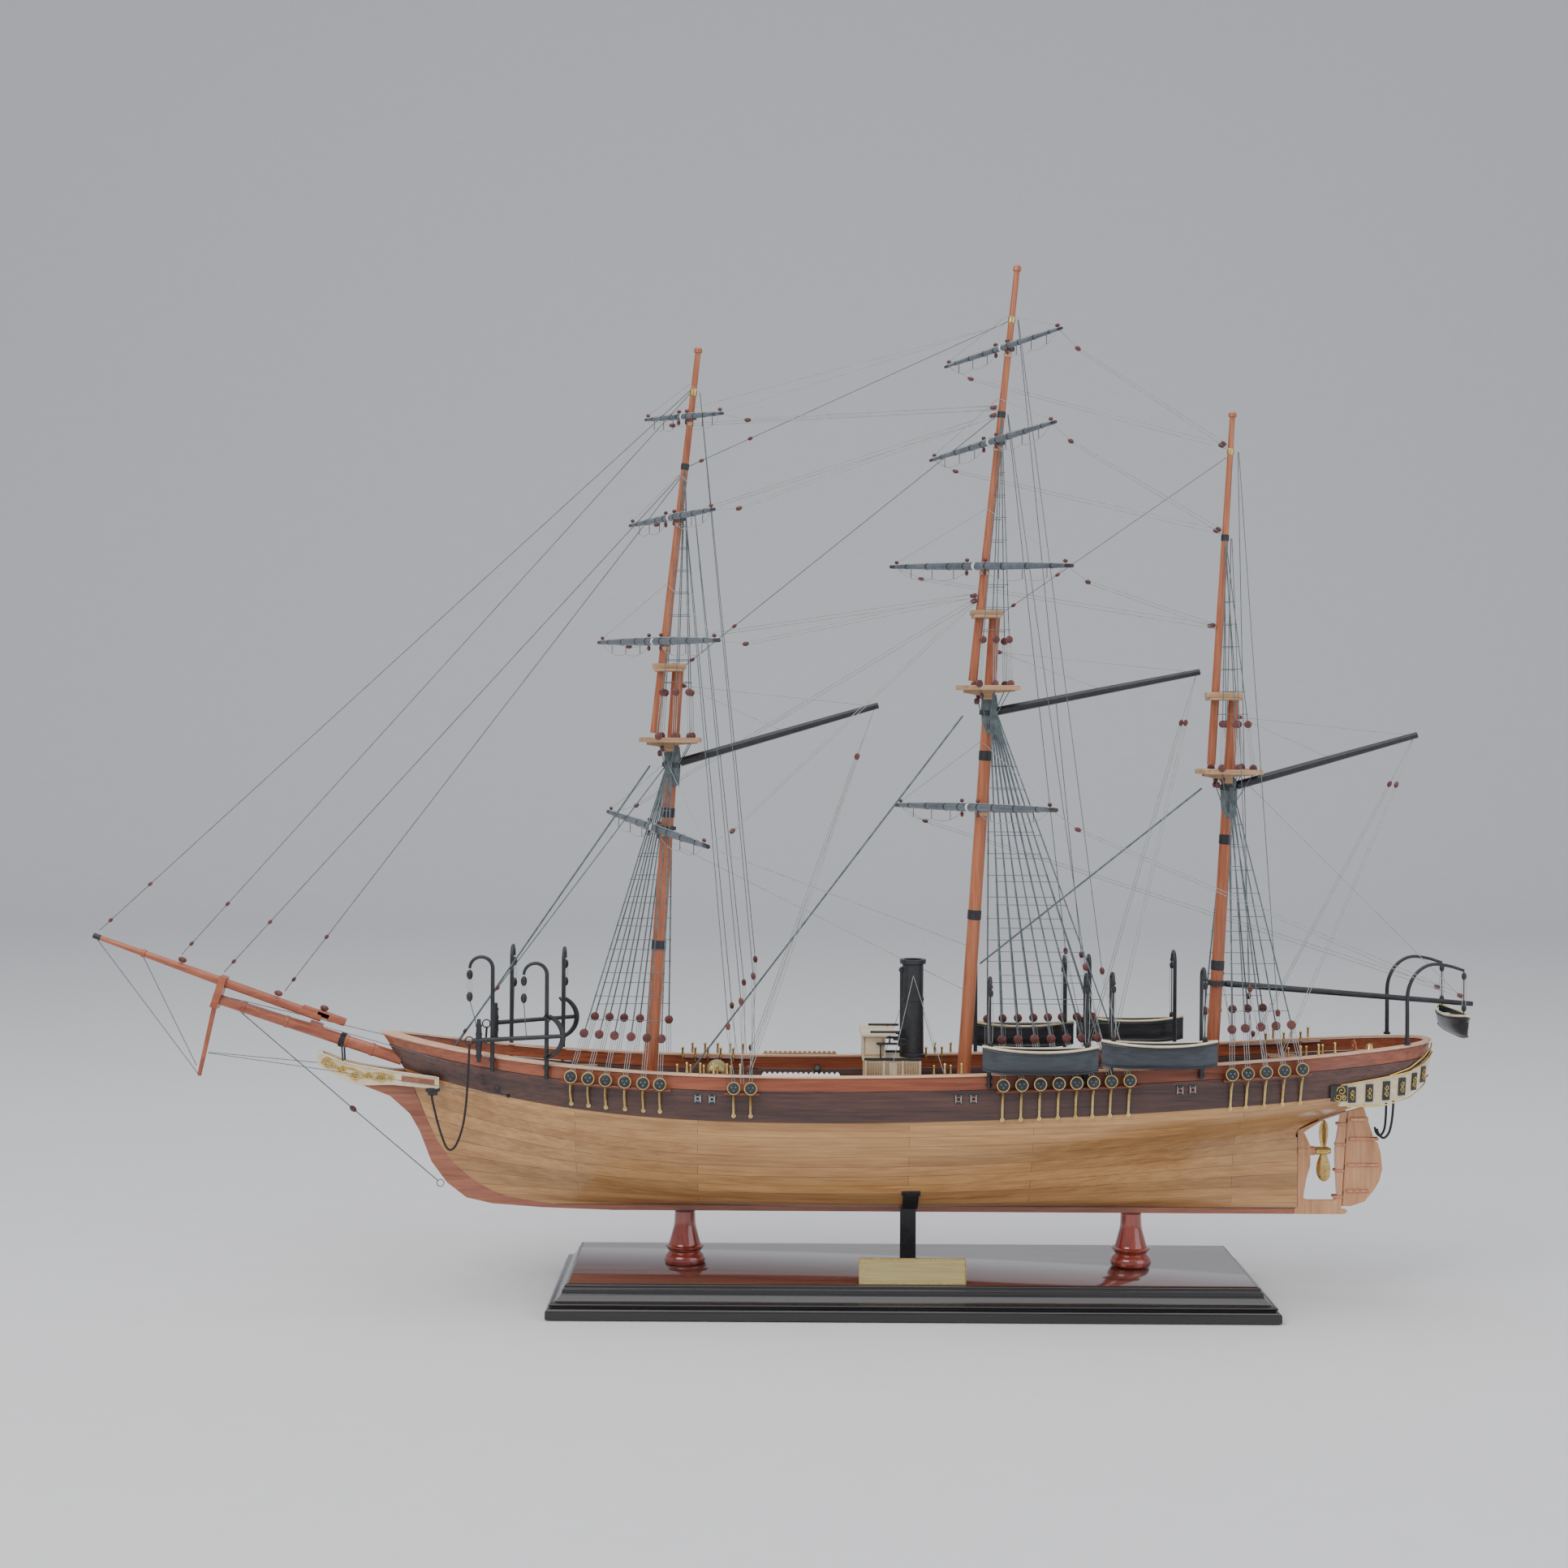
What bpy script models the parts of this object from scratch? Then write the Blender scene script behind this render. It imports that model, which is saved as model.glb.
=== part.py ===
# Sailing ship display model: a three-masted barque with a funnel and a screw, on its plinth.
# Dimensions are in millimetres and become metres where a mesh is made.
# +X runs to the bow, +Y to port, +Z up; the origin is at the middle of the plinth's underside.
# The tables are in the ship's own frame, in which that origin is the point ORIGIN.

import math

import bmesh
import bpy
from mathutils import Matrix, Vector

MM = 0.001
GAP = 0.3
ORIGIN = Vector((-2.0, 0.0, 2.2))

# Stand
PLINTH_LENGTH = 433.0
PLINTH_WIDTH = 135.0
PLINTH_HEIGHT = 19.1
STAND_TOP = ORIGIN.z + PLINTH_HEIGHT
# Moulding of the plinth's edge: (set in from the foot, height)
PLINTH_MOULDING = ((0.0, 0.0), (0.0, 4.6), (1.0, 6.2), (3.0, 7.0), (1.9, 8.4), (2.6, 9.2), (5.2, 9.9),
                   (7.6, 12.1), (9.0, 13.8), (9.4, 16.0), (10.4, 16.8), (10.8, 18.3), (12.0, PLINTH_HEIGHT))
PEDESTAL_SPREAD = 137.2
PEDESTAL_TOP = 53.4
# Turned profile of a pedestal: (height over the plinth, radius)
PEDESTAL_PROFILE = ((GAP, 11.8), (1.1, 12.4), (3.1, 12.6), (5.2, 12.0), (6.7, 10.6), (7.7, 9.8), (8.9, 10.6),
                    (10.2, 11.4), (10.9, 12.3), (11.6, 11.2), (12.1, 10.1), (15.8, 8.9), (22.0, 7.2),
                    (26.2, 6.6), (PEDESTAL_TOP - STAND_TOP, 6.35))
STRAP_WIDTH = 9.4
STRAP_THICKNESS = 1.1
STRAP_LEVELS = 4
STRAP_CLEAR = 0.5
STRAP_LIP = 11.2
PLATE_LENGTH = 63.5
PLATE_HEIGHT = 15.2
PLATE_THICKNESS = 1.4
PLATE_LEAN = math.radians(8.0)

# Hull
STATIONS = 40
KEEL_BOTTOM = 53.8
KEEL_HALF_WIDTH = 2.2
KEELSON_LINE = 57.5
SHEER_LOW_X = 60.0
FULLEST_SHARE = 0.55
HALF_BEAM = 48.0
BULWARK_THICKNESS = 2.6
DECK_BELOW_RAIL = 13.8
DECK_THICKNESS = 1.6

# Screw and rudder
SHAFT_X = -257.5
SHAFT_Z = 92.4
SCREW_RADIUS = 18.9
RUDDER_FOOT = (-269.7, 57.0)
RUDDER_HEAD = (-272.9, 118.0)
STOCK_RADIUS = 1.1

# Fore-and-aft plan of the bowsprit
BOWSPRIT_FOOT = (309.8, 145.4)
BOWSPRIT_HEAD = (424.5, 182.2)
JIB_BOOM_HEEL = (359.6, 170.9)
JIB_BOOM_TIP = (500.1, 220.5)

# Masts: foot's x and the head of the lower mast, heights of the top and the cap,
# heel and truck of the topmast, radii; pairs are (x, z)
MASTS = {
    "fore": dict(foot_x=157.7, head=(141.2, 390.0), top=342.7, cap=389.9,
                 heel=(155.6, 347.0), truck=(129.9, 584.6), lower_radius=4.4, top_radius=2.8),
    "main": dict(foot_x=-35.3, head=(-53.6, 423.8), top=375.8, cap=423.8,
                 heel=(-40.0, 380.2), truck=(-66.1, 636.3), lower_radius=4.2, top_radius=2.8),
    "mizzen": dict(foot_x=-188.0, head=(-201.0, 374.2), top=325.2, cap=374.1,
                   heel=(-187.0, 329.6), truck=(-199.1, 546.7), lower_radius=4.0, top_radius=2.6),
}

MAST_STEP = 0.7

# Yards: name, mast, lower mast or topmast, height, length, diameter, port end swung aft, port end up
YARDS = (
    ("fore_course_yard", "fore", "lower", 288.8, 240.0, 5.2, 17.9, -2.6),
    ("fore_topsail_yard", "fore", "topmast", 403.3, 210.0, 4.8, 23.6, -1.3),
    ("fore_topgallant_yard", "fore", "topmast", 479.3, 160.0, 4.0, 21.6, -0.9),
    ("fore_royal_yard", "fore", "topmast", 541.5, 120.0, 3.4, 25.8, -4.6),
    ("main_course_yard", "main", "lower", 302.5, 240.0, 5.2, 19.5, 1.3),
    ("main_topsail_yard", "main", "topmast", 450.6, 210.0, 4.8, 27.2, -3.0),
    ("main_topgallant_yard", "main", "topmast", 527.0, 160.0, 4.0, 23.6, 2.4),
    ("main_royal_yard", "main", "topmast", 584.7, 120.0, 3.4, 31.3, 3.9),
)

# Gaffs and boom: name, mast, jaw height, peak as (x, z), radius at the jaws, radius at the peak
GAFFS = (
    ("fore_gaff", "fore", 327.6, (18.0, 364.9), 2.7, 1.9),
    ("main_gaff", "main", 360.6, (-179.7, 386.6), 2.7, 1.9),
    ("mizzen_gaff", "mizzen", 315.4, (-313.7, 348.6), 2.7, 1.9),
    ("spanker_boom", "mizzen", 195.3, (-348.7, 183.3), 2.0, 1.5),
)

# Channels: name, first and last x, height of the plank, deadeye places along x
CHANNELS = (
    ("fore", 209.0, 142.0, (202.0, 191.5, 181.0, 169.5, 158.5, 148.5)),
    ("main", -51.0, -136.0, (-55.0, -66.0, -77.0, -88.0, -98.5, -108.5, -119.0, -130.0)),
    ("mizzen", -186.0, -239.5, (-191.0, -200.5, -211.5, -222.5, -233.5)),
)
CHANNEL_WIDTH = 7.0
CHANNEL_THICKNESS = 1.6
DEADEYE_RADIUS = 3.8
DEADEYE_THICKNESS = 2.6

# Quarter boats: name, middle x, keel height, and the two davits' x
BOATS = (
    ("waist", -76.5, 147.6, (-47.0, -104.0)),
    ("quarter", -146.7, 151.4, (-119.5, -173.5)),
)
# Main stays: name, upper end and lower end as (x, z)
STAYS = (
    ("fore_stay", (158.3, 327.0), (282.3, 146.0)),
    ("main_stay", (-34.0, 358.7), (136.0, 134.0)),
    ("mizzen_stay", (-181.3, 315.0), (-45.4, 206.3)),
)
BOAT_LENGTH = 68.4
BOAT_BEAM = 16.0
BOAT_DEPTH = 13.5
BOAT_Y = 60.0


class Shape:
    """Closed surfaces, gathered into one mesh."""

    def __init__(self):
        self.points = []
        self.faces = []

    def add(self, points, faces):
        first = len(self.points)
        self.points.extend(Vector(p) for p in points)
        self.faces.extend([first + i for i in face] for face in faces)
        return self

    def loft(self, rings, looped=False):
        """A skin over rings of equally many points, capped at both ends unless it runs round in a loop."""
        count = len(rings[0])
        points = [p for ring in rings for p in ring]
        faces = []
        for i in range(len(rings) if looped else len(rings) - 1):
            here = i * count
            there = (i + 1) % len(rings) * count
            for j in range(count):
                k = (j + 1) % count
                faces.append((here + j, here + k, there + k, there + j))
        if not looped:
            faces.append(tuple(range(count)))
            last = (len(rings) - 1) * count
            faces.append(tuple(range(last, last + count)))
        return self.add(points, faces)

    def rod(self, path, radii, sides=10):
        """A round bar along a path, with one radius for each of its points."""
        path = [Vector(p) for p in path]
        rings = []
        for i, point in enumerate(path):
            along = path[min(i + 1, len(path) - 1)] - path[max(i - 1, 0)]
            across = along.cross(Vector((0.0, 0.0, 1.0)))
            if across.length < 0.02 * along.length:
                across = along.cross(Vector((0.0, 1.0, 0.0)))
            if rings and across.dot(previous) < 0.0:
                across = -across
            previous = across
            across.normalize()
            up = across.cross(along).normalized()
            ring = []
            for j in range(sides):
                turn = 2.0 * math.pi * (j + 0.5) / sides
                ring.append(point + radii[i] * (math.cos(turn) * across + math.sin(turn) * up))
            rings.append(ring)
        return self.loft(rings)

    def turned(self, start, direction, profile, sides=16):
        """A turned piece: profile gives (distance along the axis, radius) pairs."""
        start = Vector(start)
        along = Vector(direction).normalized()
        across = along.orthogonal().normalized()
        up = along.cross(across)
        rings = []
        for distance, radius in profile:
            ring = []
            for j in range(sides):
                turn = 2.0 * math.pi * j / sides
                offset = math.cos(turn) * across + math.sin(turn) * up
                ring.append(start + distance * along + radius * offset)
            rings.append(ring)
        return self.loft(rings)

    def hoop(self, centre, axis, inner, outer, height, sides=16):
        """A flat band around an axis, with a hole through it."""
        centre = Vector(centre)
        along = Vector(axis).normalized()
        across = along.orthogonal().normalized()
        up = along.cross(across)
        rings = []
        for j in range(sides):
            turn = 2.0 * math.pi * j / sides
            out = math.cos(turn) * across + math.sin(turn) * up
            corners = ((inner, -0.5), (outer, -0.5), (outer, 0.5), (inner, 0.5))
            rings.append([centre + r * out + h * height * along for r, h in corners])
        return self.loft(rings, looped=True)

    def box(self, low, high):
        x0, y0, z0 = low
        x1, y1, z1 = high
        ring = [(x0, y0), (x1, y0), (x1, y1), (x0, y1)]
        return self.loft([[(x, y, z) for x, y in ring] for z in (z0, z1)])

    def plate(self, outline, start, end):
        """An outline of (x, z) points, thick from y = start to y = end."""
        return self.loft([[(x, y, z) for x, z in outline] for y in (start, end)])


def to_mesh(name, shape, pivot=ORIGIN):
    mesh = bpy.data.meshes.new(name)
    mesh.from_pydata([tuple((p - pivot) * MM) for p in shape.points], [], shape.faces)
    work = bmesh.new()
    work.from_mesh(mesh)
    bmesh.ops.recalc_face_normals(work, faces=work.faces)
    work.to_mesh(mesh)
    work.free()
    mesh.shade_smooth()
    mesh.set_sharp_from_angle(angle=math.radians(35.0))
    return mesh


def joined(name, base, extra, operation):
    """The base shape with the extra shape's solids added to it, or cut out of it."""
    base_object = bpy.data.objects.new(name + "_base", to_mesh(name, base))
    extra_object = bpy.data.objects.new(name + "_extra", to_mesh(name + "_extra", extra))
    for item in (base_object, extra_object):
        bpy.context.collection.objects.link(item)
    step = base_object.modifiers.new(operation.lower(), "BOOLEAN")
    step.operation = operation
    step.solver = "EXACT"
    step.use_self = True
    step.object = extra_object
    depsgraph = bpy.context.evaluated_depsgraph_get()
    mesh = bpy.data.meshes.new_from_object(base_object.evaluated_get(depsgraph))
    for item in (base_object, extra_object):
        bpy.data.objects.remove(item, do_unlink=True)
    points = [v.co / MM + ORIGIN for v in mesh.vertices]
    return Shape().add(points, [list(face.vertices) for face in mesh.polygons])


# Finishes: words in the name, colour, roughness, metallic
FINISHES = (
    ("plate screw", (0.62, 0.47, 0.16), 0.3, 1.0),
    ("gaff boat anchor cable strap spanker funnel", (0.02, 0.022, 0.026), 0.45, 0.0),
    ("jib_boom bowsprit", (0.36, 0.11, 0.05), 0.4, 0.0),
    ("yard", (0.10, 0.13, 0.16), 0.5, 0.0),
    ("plinth", (0.03, 0.015, 0.012), 0.15, 0.0),
    ("pedestal", (0.20, 0.03, 0.02), 0.12, 0.0),
    ("planking", (0.55, 0.28, 0.09), 0.35, 0.0),
    ("wale", (0.07, 0.035, 0.035), 0.4, 0.0),
    ("strake", (0.30, 0.06, 0.035), 0.35, 0.0),
    ("rail_cap head_boards gallery bridge", (0.78, 0.68, 0.50), 0.4, 0.0),
    ("deck", (0.30, 0.17, 0.08), 0.5, 0.0),
    ("keel stern_frame", (0.28, 0.08, 0.045), 0.4, 0.0),
    ("rudder", (0.50, 0.25, 0.10), 0.4, 0.0),
    ("mast", (0.40, 0.14, 0.06), 0.4, 0.0),
    ("_top", (0.45, 0.27, 0.13), 0.5, 0.0),
    ("channel", (0.04, 0.035, 0.035), 0.45, 0.0),
    ("stay", (0.30, 0.32, 0.32), 0.8, 0.0),
)


def finish(name):
    """The finish of a piece: colour, roughness and metallic value by the words in its name."""
    for words, colour, roughness, metallic in FINISHES:
        if any(word in name for word in words.split()):
            material = bpy.data.materials.new(name)
            material.use_nodes = True
            shader = material.node_tree.nodes["Principled BSDF"]
            shader.inputs["Base Color"].default_value = (*colour, 1.0)
            shader.inputs["Roughness"].default_value = roughness
            shader.inputs["Metallic"].default_value = metallic
            material.diffuse_color = (*colour, 1.0)
            return material
    raise ValueError("no finish for " + name)


def piece(name, shape, pivot=ORIGIN, add=None, cut=None):
    """One named object of the model, with its origin at the pivot."""
    if add is not None:
        shape = joined(name, shape, add, "UNION")
    if cut is not None:
        shape = joined(name, shape, cut, "DIFFERENCE")
    item = bpy.data.objects.new(name, to_mesh(name, shape, pivot))
    item.location = (pivot - ORIGIN) * MM
    item.data.materials.append(finish(name))
    bpy.context.collection.objects.link(item)
    return item


def mix(a, b, share):
    return a + (b - a) * share


# Levels of the planked bottom: height share, bow x and z, stern x and z, hollow of the entrance and run
BOTTOM_LEVELS = (
    (0.00, 215.0, 57.5, -241.0, 57.8, 1.90, 2.60),
    (0.05, 238.0, 60.8, -241.0, 62.0, 1.80, 2.40),
    (0.12, 256.0, 66.7, -241.0, 69.0, 1.65, 2.20),
    (0.22, 271.8, 77.3, -241.0, 78.0, 1.50, 2.00),
    (0.34, 283.9, 90.6, -241.0, 88.0, 1.35, 1.80),
    (0.48, 292.0, 105.0, -241.0, 97.0, 1.20, 1.55),
    (0.62, 298.0, 119.0, -241.0, 105.5, 1.08, 1.25),
    (0.76, 302.5, 129.5, -258.0, 113.4, 0.98, 0.95),
    (0.88, 305.5, 135.5, -284.0, 122.2, 0.90, 0.70),
    (0.95, 307.0, 138.3, -302.0, 128.3, 0.87, 0.58),
    (1.00, 308.5, 140.5, -317.0, 136.5, 0.85, 0.50),
)


class Level:
    """One sheer line of the hull, from the stern at share 0 to the bow at share 1."""

    def __init__(self, height, half, bow, stern, bow_half, stern_half, entrance, run):
        self.height = height
        self.half = half
        self.bow_x, self.bow_z = bow
        self.stern_x, self.stern_z = stern
        self.bow_half = bow_half
        self.stern_half = stern_half
        self.entrance_power, self.entrance_hollow = entrance
        self.run_power, self.run_hollow = run

    def shifted(self, outward, raised, bow_shift=None, bow_half=None):
        """The same line set outward all round, and raised."""
        ahead = outward if bow_shift is None else bow_shift
        return Level(self.height + raised, self.half + outward,
                     (self.bow_x + ahead, self.bow_z + raised),
                     (self.stern_x - outward, self.stern_z + raised),
                     self.bow_half if bow_half is None else bow_half, self.stern_half,
                     (self.entrance_power, self.entrance_hollow),
                     (self.run_power, self.run_hollow))

    def z_at(self, x):
        if x > SHEER_LOW_X:
            share = (x - SHEER_LOW_X) / (self.bow_x - SHEER_LOW_X)
            return mix(self.height, self.bow_z, share ** 2.5)
        share = (SHEER_LOW_X - x) / (SHEER_LOW_X - self.stern_x)
        return mix(self.height, self.stern_z, share ** 1.75)

    def half_at(self, x):
        share = (x - self.stern_x) / (self.bow_x - self.stern_x)
        share = min(max(share, 0.0), 1.0)
        if share > FULLEST_SHARE:
            rest = (1.0 - share) / (1.0 - FULLEST_SHARE)
            full = (1.0 - (1.0 - rest) ** self.entrance_power) ** self.entrance_hollow
            return mix(self.bow_half, self.half, full)
        rest = share / FULLEST_SHARE
        full = (1.0 - (1.0 - rest) ** self.run_power) ** self.run_hollow
        return mix(self.stern_half, self.half, full)

    def point(self, station, stations=STATIONS):
        share = 0.5 - 0.5 * math.cos(math.pi * station / stations)
        x = mix(self.stern_x, self.bow_x, share)
        return Vector((x, self.half_at(x), self.z_at(x)))

    def at(self, x):
        return Vector((x, self.half_at(x), self.z_at(x)))


def bottom_level(row):
    share, bow_x, bow_z, stern_x, stern_z, entrance_hollow, run_hollow = row
    bilge = (1.0 - (1.0 - share) ** 2.4) ** 0.48
    half = mix(KEEL_HALF_WIDTH, HALF_BEAM, bilge)
    stern_half = KEEL_HALF_WIDTH if stern_x > -242.0 else 0.4
    height = mix(KEELSON_LINE, 115.7, share)
    return Level(height, half, (bow_x, bow_z), (stern_x, stern_z), KEEL_HALF_WIDTH, stern_half,
                 (2.0 + 0.6 * share, entrance_hollow), (2.0 + 2.5 * share * share, run_hollow))


FULL_LINES = ((2.6, 0.78), (4.5, 0.46))
BOTTOM = [bottom_level(row) for row in BOTTOM_LEVELS]
WALE_LOW = Level(116.0, 48.7, (308.7, 140.9), (-317.6, 136.9), 2.2, 0.4, (2.6, 0.85), (4.5, 0.5))
WALE_HIGH = Level(134.0, 48.9, (317.5, 155.0), (-321.0, 153.2), 2.2, 0.4, *FULL_LINES)
STRAKE_HIGH = Level(141.7, 47.6, (321.2, 161.1), (-321.4, 160.9), 2.2, 0.4, *FULL_LINES)
RAIL_TOP = Level(143.4, 47.4, (322.2, 162.8), (-321.6, 162.6), 2.2, 0.4, *FULL_LINES)


# Edges of the stern gallery as (x, height), running aft, and the stations that it covers
GALLERY_LOW = ((-250.0, 126.0), (-285.7, 125.4), (-305.0, 129.5), (-315.0, 136.0), (-321.0, 141.0))
GALLERY_HIGH = ((-250.0, 138.0), (-265.2, 139.3), (-303.5, 144.5), (-314.0, 149.5), (-321.0, 155.5))
GALLERY_STATIONS = 8


def deck_z(x):
    return RAIL_TOP.z_at(x) - DECK_BELOW_RAIL


def across(columns):
    """A solid from port columns of points, mirrored to starboard and closed across the centreline."""
    count = len(columns[0])
    points = []
    for column in columns:
        points.extend(column)
        points.extend((x, -y, z) for x, y, z in column)
    faces = []
    for i in range(len(columns) - 1):
        here = 2 * count * i
        there = here + 2 * count
        for j in range(count - 1):
            faces.append((here + j, here + j + 1, there + j + 1, there + j))
            faces.append((here + count + j, there + count + j, there + count + j + 1, here + count + j + 1))
        for j in (0, count - 1):
            faces.append((here + j, there + j, there + count + j, here + count + j))
    for end in (0, len(columns) - 1):
        here = 2 * count * end
        for j in range(count - 1):
            faces.append((here + j, here + j + 1, here + count + j + 1, here + count + j))
    return Shape().add(points, faces)


def round_the_hull(corners):
    """A band that runs round the whole hull, its section given by four sheer lines and their lifts."""
    rings = []
    for side, stations in ((1, range(STATIONS, -1, -1)), (-1, range(STATIONS + 1))):
        for station in stations:
            ring = []
            for level in corners:
                x, y, z = level.point(station)
                ring.append((x, side * y, z))
            rings.append(ring)
    return Shape().loft(rings, looped=True)


def make_plinth():
    rings = []
    for inset, height in PLINTH_MOULDING:
        x = PLINTH_LENGTH / 2 - inset
        y = PLINTH_WIDTH / 2 - inset
        corners = ((x, y), (-x, y), (-x, -y), (x, -y))
        rings.append([ORIGIN + Vector((a, b, height)) for a, b in corners])
    piece("plinth", Shape().loft(rings))


def make_pedestals():
    for name, side in (("pedestal_fore", 1), ("pedestal_aft", -1)):
        foot = (ORIGIN.x + side * PEDESTAL_SPREAD, 0.0, STAND_TOP)
        piece(name, Shape().turned(foot, (0, 0, 1), PEDESTAL_PROFILE, sides=16))


def make_strap():
    """A metal band that rises from the plinth on both sides of the keel and lies along the bottom."""
    surface = [(KEEL_HALF_WIDTH, STAND_TOP + GAP), (KEEL_HALF_WIDTH, KEELSON_LINE - 1.2)]
    for level in BOTTOM[1:STRAP_LEVELS]:
        surface.append(level.at(ORIGIN.x).yz)
    surface.append(BOTTOM[STRAP_LEVELS - 1].at(ORIGIN.x).lerp(BOTTOM[STRAP_LEVELS].at(ORIGIN.x), 0.3).yz)
    route = []
    outline = []
    for index, (y, z) in enumerate(surface):
        before = surface[max(index - 1, 0)]
        after = surface[min(index + 1, len(surface) - 1)]
        dy, dz = after[0] - before[0], after[1] - before[1]
        length = math.hypot(dy, dz)
        for line, out in ((route, STRAP_CLEAR), (outline, STRAP_CLEAR + STRAP_THICKNESS)):
            line.append((y + out * dz / length, z - out * dy / length))
    bands = ((STRAP_WIDTH, route + outline[::-1]), (STRAP_LIP, route[-2:] + outline[:-3:-1]))
    shape = Shape()
    for width, port in bands:
        ends = (ORIGIN.x - width / 2, ORIGIN.x + width / 2)
        for side in (1, -1):
            shape.loft([[(x, side * y, z) for y, z in port] for x in ends])
    half = Vector((STRAP_WIDTH / 2, KEEL_HALF_WIDTH + 1.3, 0.0))
    foot = Vector((ORIGIN.x, 0.0, STAND_TOP + GAP))
    piece("keel_strap", Shape().box(foot - half, foot + half + Vector((0.0, 0.0, 2.0))), add=shape)


def make_plate():
    y = PLINTH_WIDTH / 2 - PLINTH_MOULDING[-1][0] - PLATE_THICKNESS - 0.4
    foot = STAND_TOP + GAP
    rise = PLATE_HEIGHT * math.cos(PLATE_LEAN)
    back = PLATE_HEIGHT * math.sin(PLATE_LEAN)
    front = y + PLATE_THICKNESS
    ring = [(y, foot), (front, foot), (front - back, foot + rise), (y - back, foot + rise)]
    ends = (ORIGIN.x - PLATE_LENGTH / 2, ORIGIN.x + PLATE_LENGTH / 2)
    piece("blank_plate", Shape().loft([[(x, a, b) for a, b in ring] for x in ends]))


def make_hull():
    floor = RAIL_TOP.shifted(-BULWARK_THICKNESS - 0.2, -DECK_BELOW_RAIL - DECK_THICKNESS - GAP, -20.0, 1.0)
    core_top = floor.shifted(-GAP - 0.05, 0.0)
    section = BOTTOM + [core_top]
    columns = [[level.point(i) for level in section] for i in range(STATIONS + 1)]
    piece("hull_planking", across(columns))

    inner_top = WALE_HIGH.shifted(-BULWARK_THICKNESS, 0.0, -8.0, 1.0)
    band = round_the_hull((WALE_LOW, WALE_HIGH, inner_top, floor))
    foot = Vector((BOWSPRIT_FOOT[0] - GAP, 0.0, BOWSPRIT_FOOT[1]))
    head = Vector((BOWSPRIT_HEAD[0], 0.0, BOWSPRIT_HEAD[1]))
    socket = Shape().rod([foot, head], [4.1, 4.1], sides=16)
    piece("hull_wale", band, cut=socket)

    low = WALE_HIGH.shifted(-0.3, GAP)
    high = STRAKE_HIGH
    inner_low = low.shifted(-BULWARK_THICKNESS, 0.0, -8.0, 1.0)
    inner_high = high.shifted(-BULWARK_THICKNESS, 0.0, -8.0, 1.0)
    piece("hull_upper_strake", round_the_hull((low, high, inner_high, inner_low)))

    cap_low = STRAKE_HIGH.shifted(1.0, GAP)
    cap_high = RAIL_TOP.shifted(1.0, 0.0)
    inner_low = STRAKE_HIGH.shifted(-3.4, GAP, -9.5, 1.0)
    inner_high = RAIL_TOP.shifted(-3.4, 0.0, -9.5, 1.0)
    piece("rail_cap", round_the_hull((cap_low, cap_high, inner_high, inner_low)))


# Hatches and deck boxes: middle x, length, width, height
DECK_BOXES = ((232.0, 16.0, 20.0, 4.0), (196.0, 12.0, 14.0, 8.0), (104.0, 20.0, 22.0, 4.0),
              (70.0, 14.0, 14.0, 8.0), (-66.0, 16.0, 20.0, 6.0), (-104.0, 18.0, 14.0, 9.0),
              (-146.0, 20.0, 22.0, 5.0), (-232.0, 18.0, 18.0, 9.0), (-270.0, 6.0, 10.0, 7.0))


def make_deck():
    edge = RAIL_TOP.shifted(-BULWARK_THICKNESS - 1.2, -DECK_BELOW_RAIL, -20.2, 1.0)
    under = edge.shifted(0.0, -DECK_THICKNESS)
    columns = [[under.point(i), edge.point(i)] for i in range(STATIONS + 1)]
    fittings = Shape()
    for x, length, width, height in DECK_BOXES:
        top = edge.z_at(x) + height
        rings = []
        for end in (x - length / 2, x + length / 2):
            foot = edge.z_at(end) - DECK_THICKNESS / 2
            rings.append([(end, -width / 2, foot), (end, width / 2, foot), (end, width / 2, top),
                          (end, -width / 2, top)])
        fittings.loft(rings)
    piece("deck", across(columns), add=fittings)


def make_keel():
    rabbet = [(row[1] + GAP, row[2]) for row in BOTTOM_LEVELS]
    stem = [(352.9, 137.4), (332.3, 129.1), (316.7, 123.1), (304.5, 112.3), (298.4, 101.6), (291.2, 83.3),
            (281.5, 70.2), (269.4, 61.0), (253.7, 57.5), (223.4, 55.3), (178.8, KEEL_BOTTOM)]
    head = [(309.0, 139.6), (318.0, 139.4), (332.9, 141.0), (346.4, 143.6), (357.0, 148.0), (357.5, 141.5)]
    keel = [(-239.0, KEEL_BOTTOM), (-239.0, KEELSON_LINE - GAP), (214.0, KEELSON_LINE - GAP)]
    outline = head + stem + keel + rabbet[:-1]
    piece("keel_and_stem", Shape().plate(outline, -KEEL_HALF_WIDTH, KEEL_HALF_WIDTH))


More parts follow.
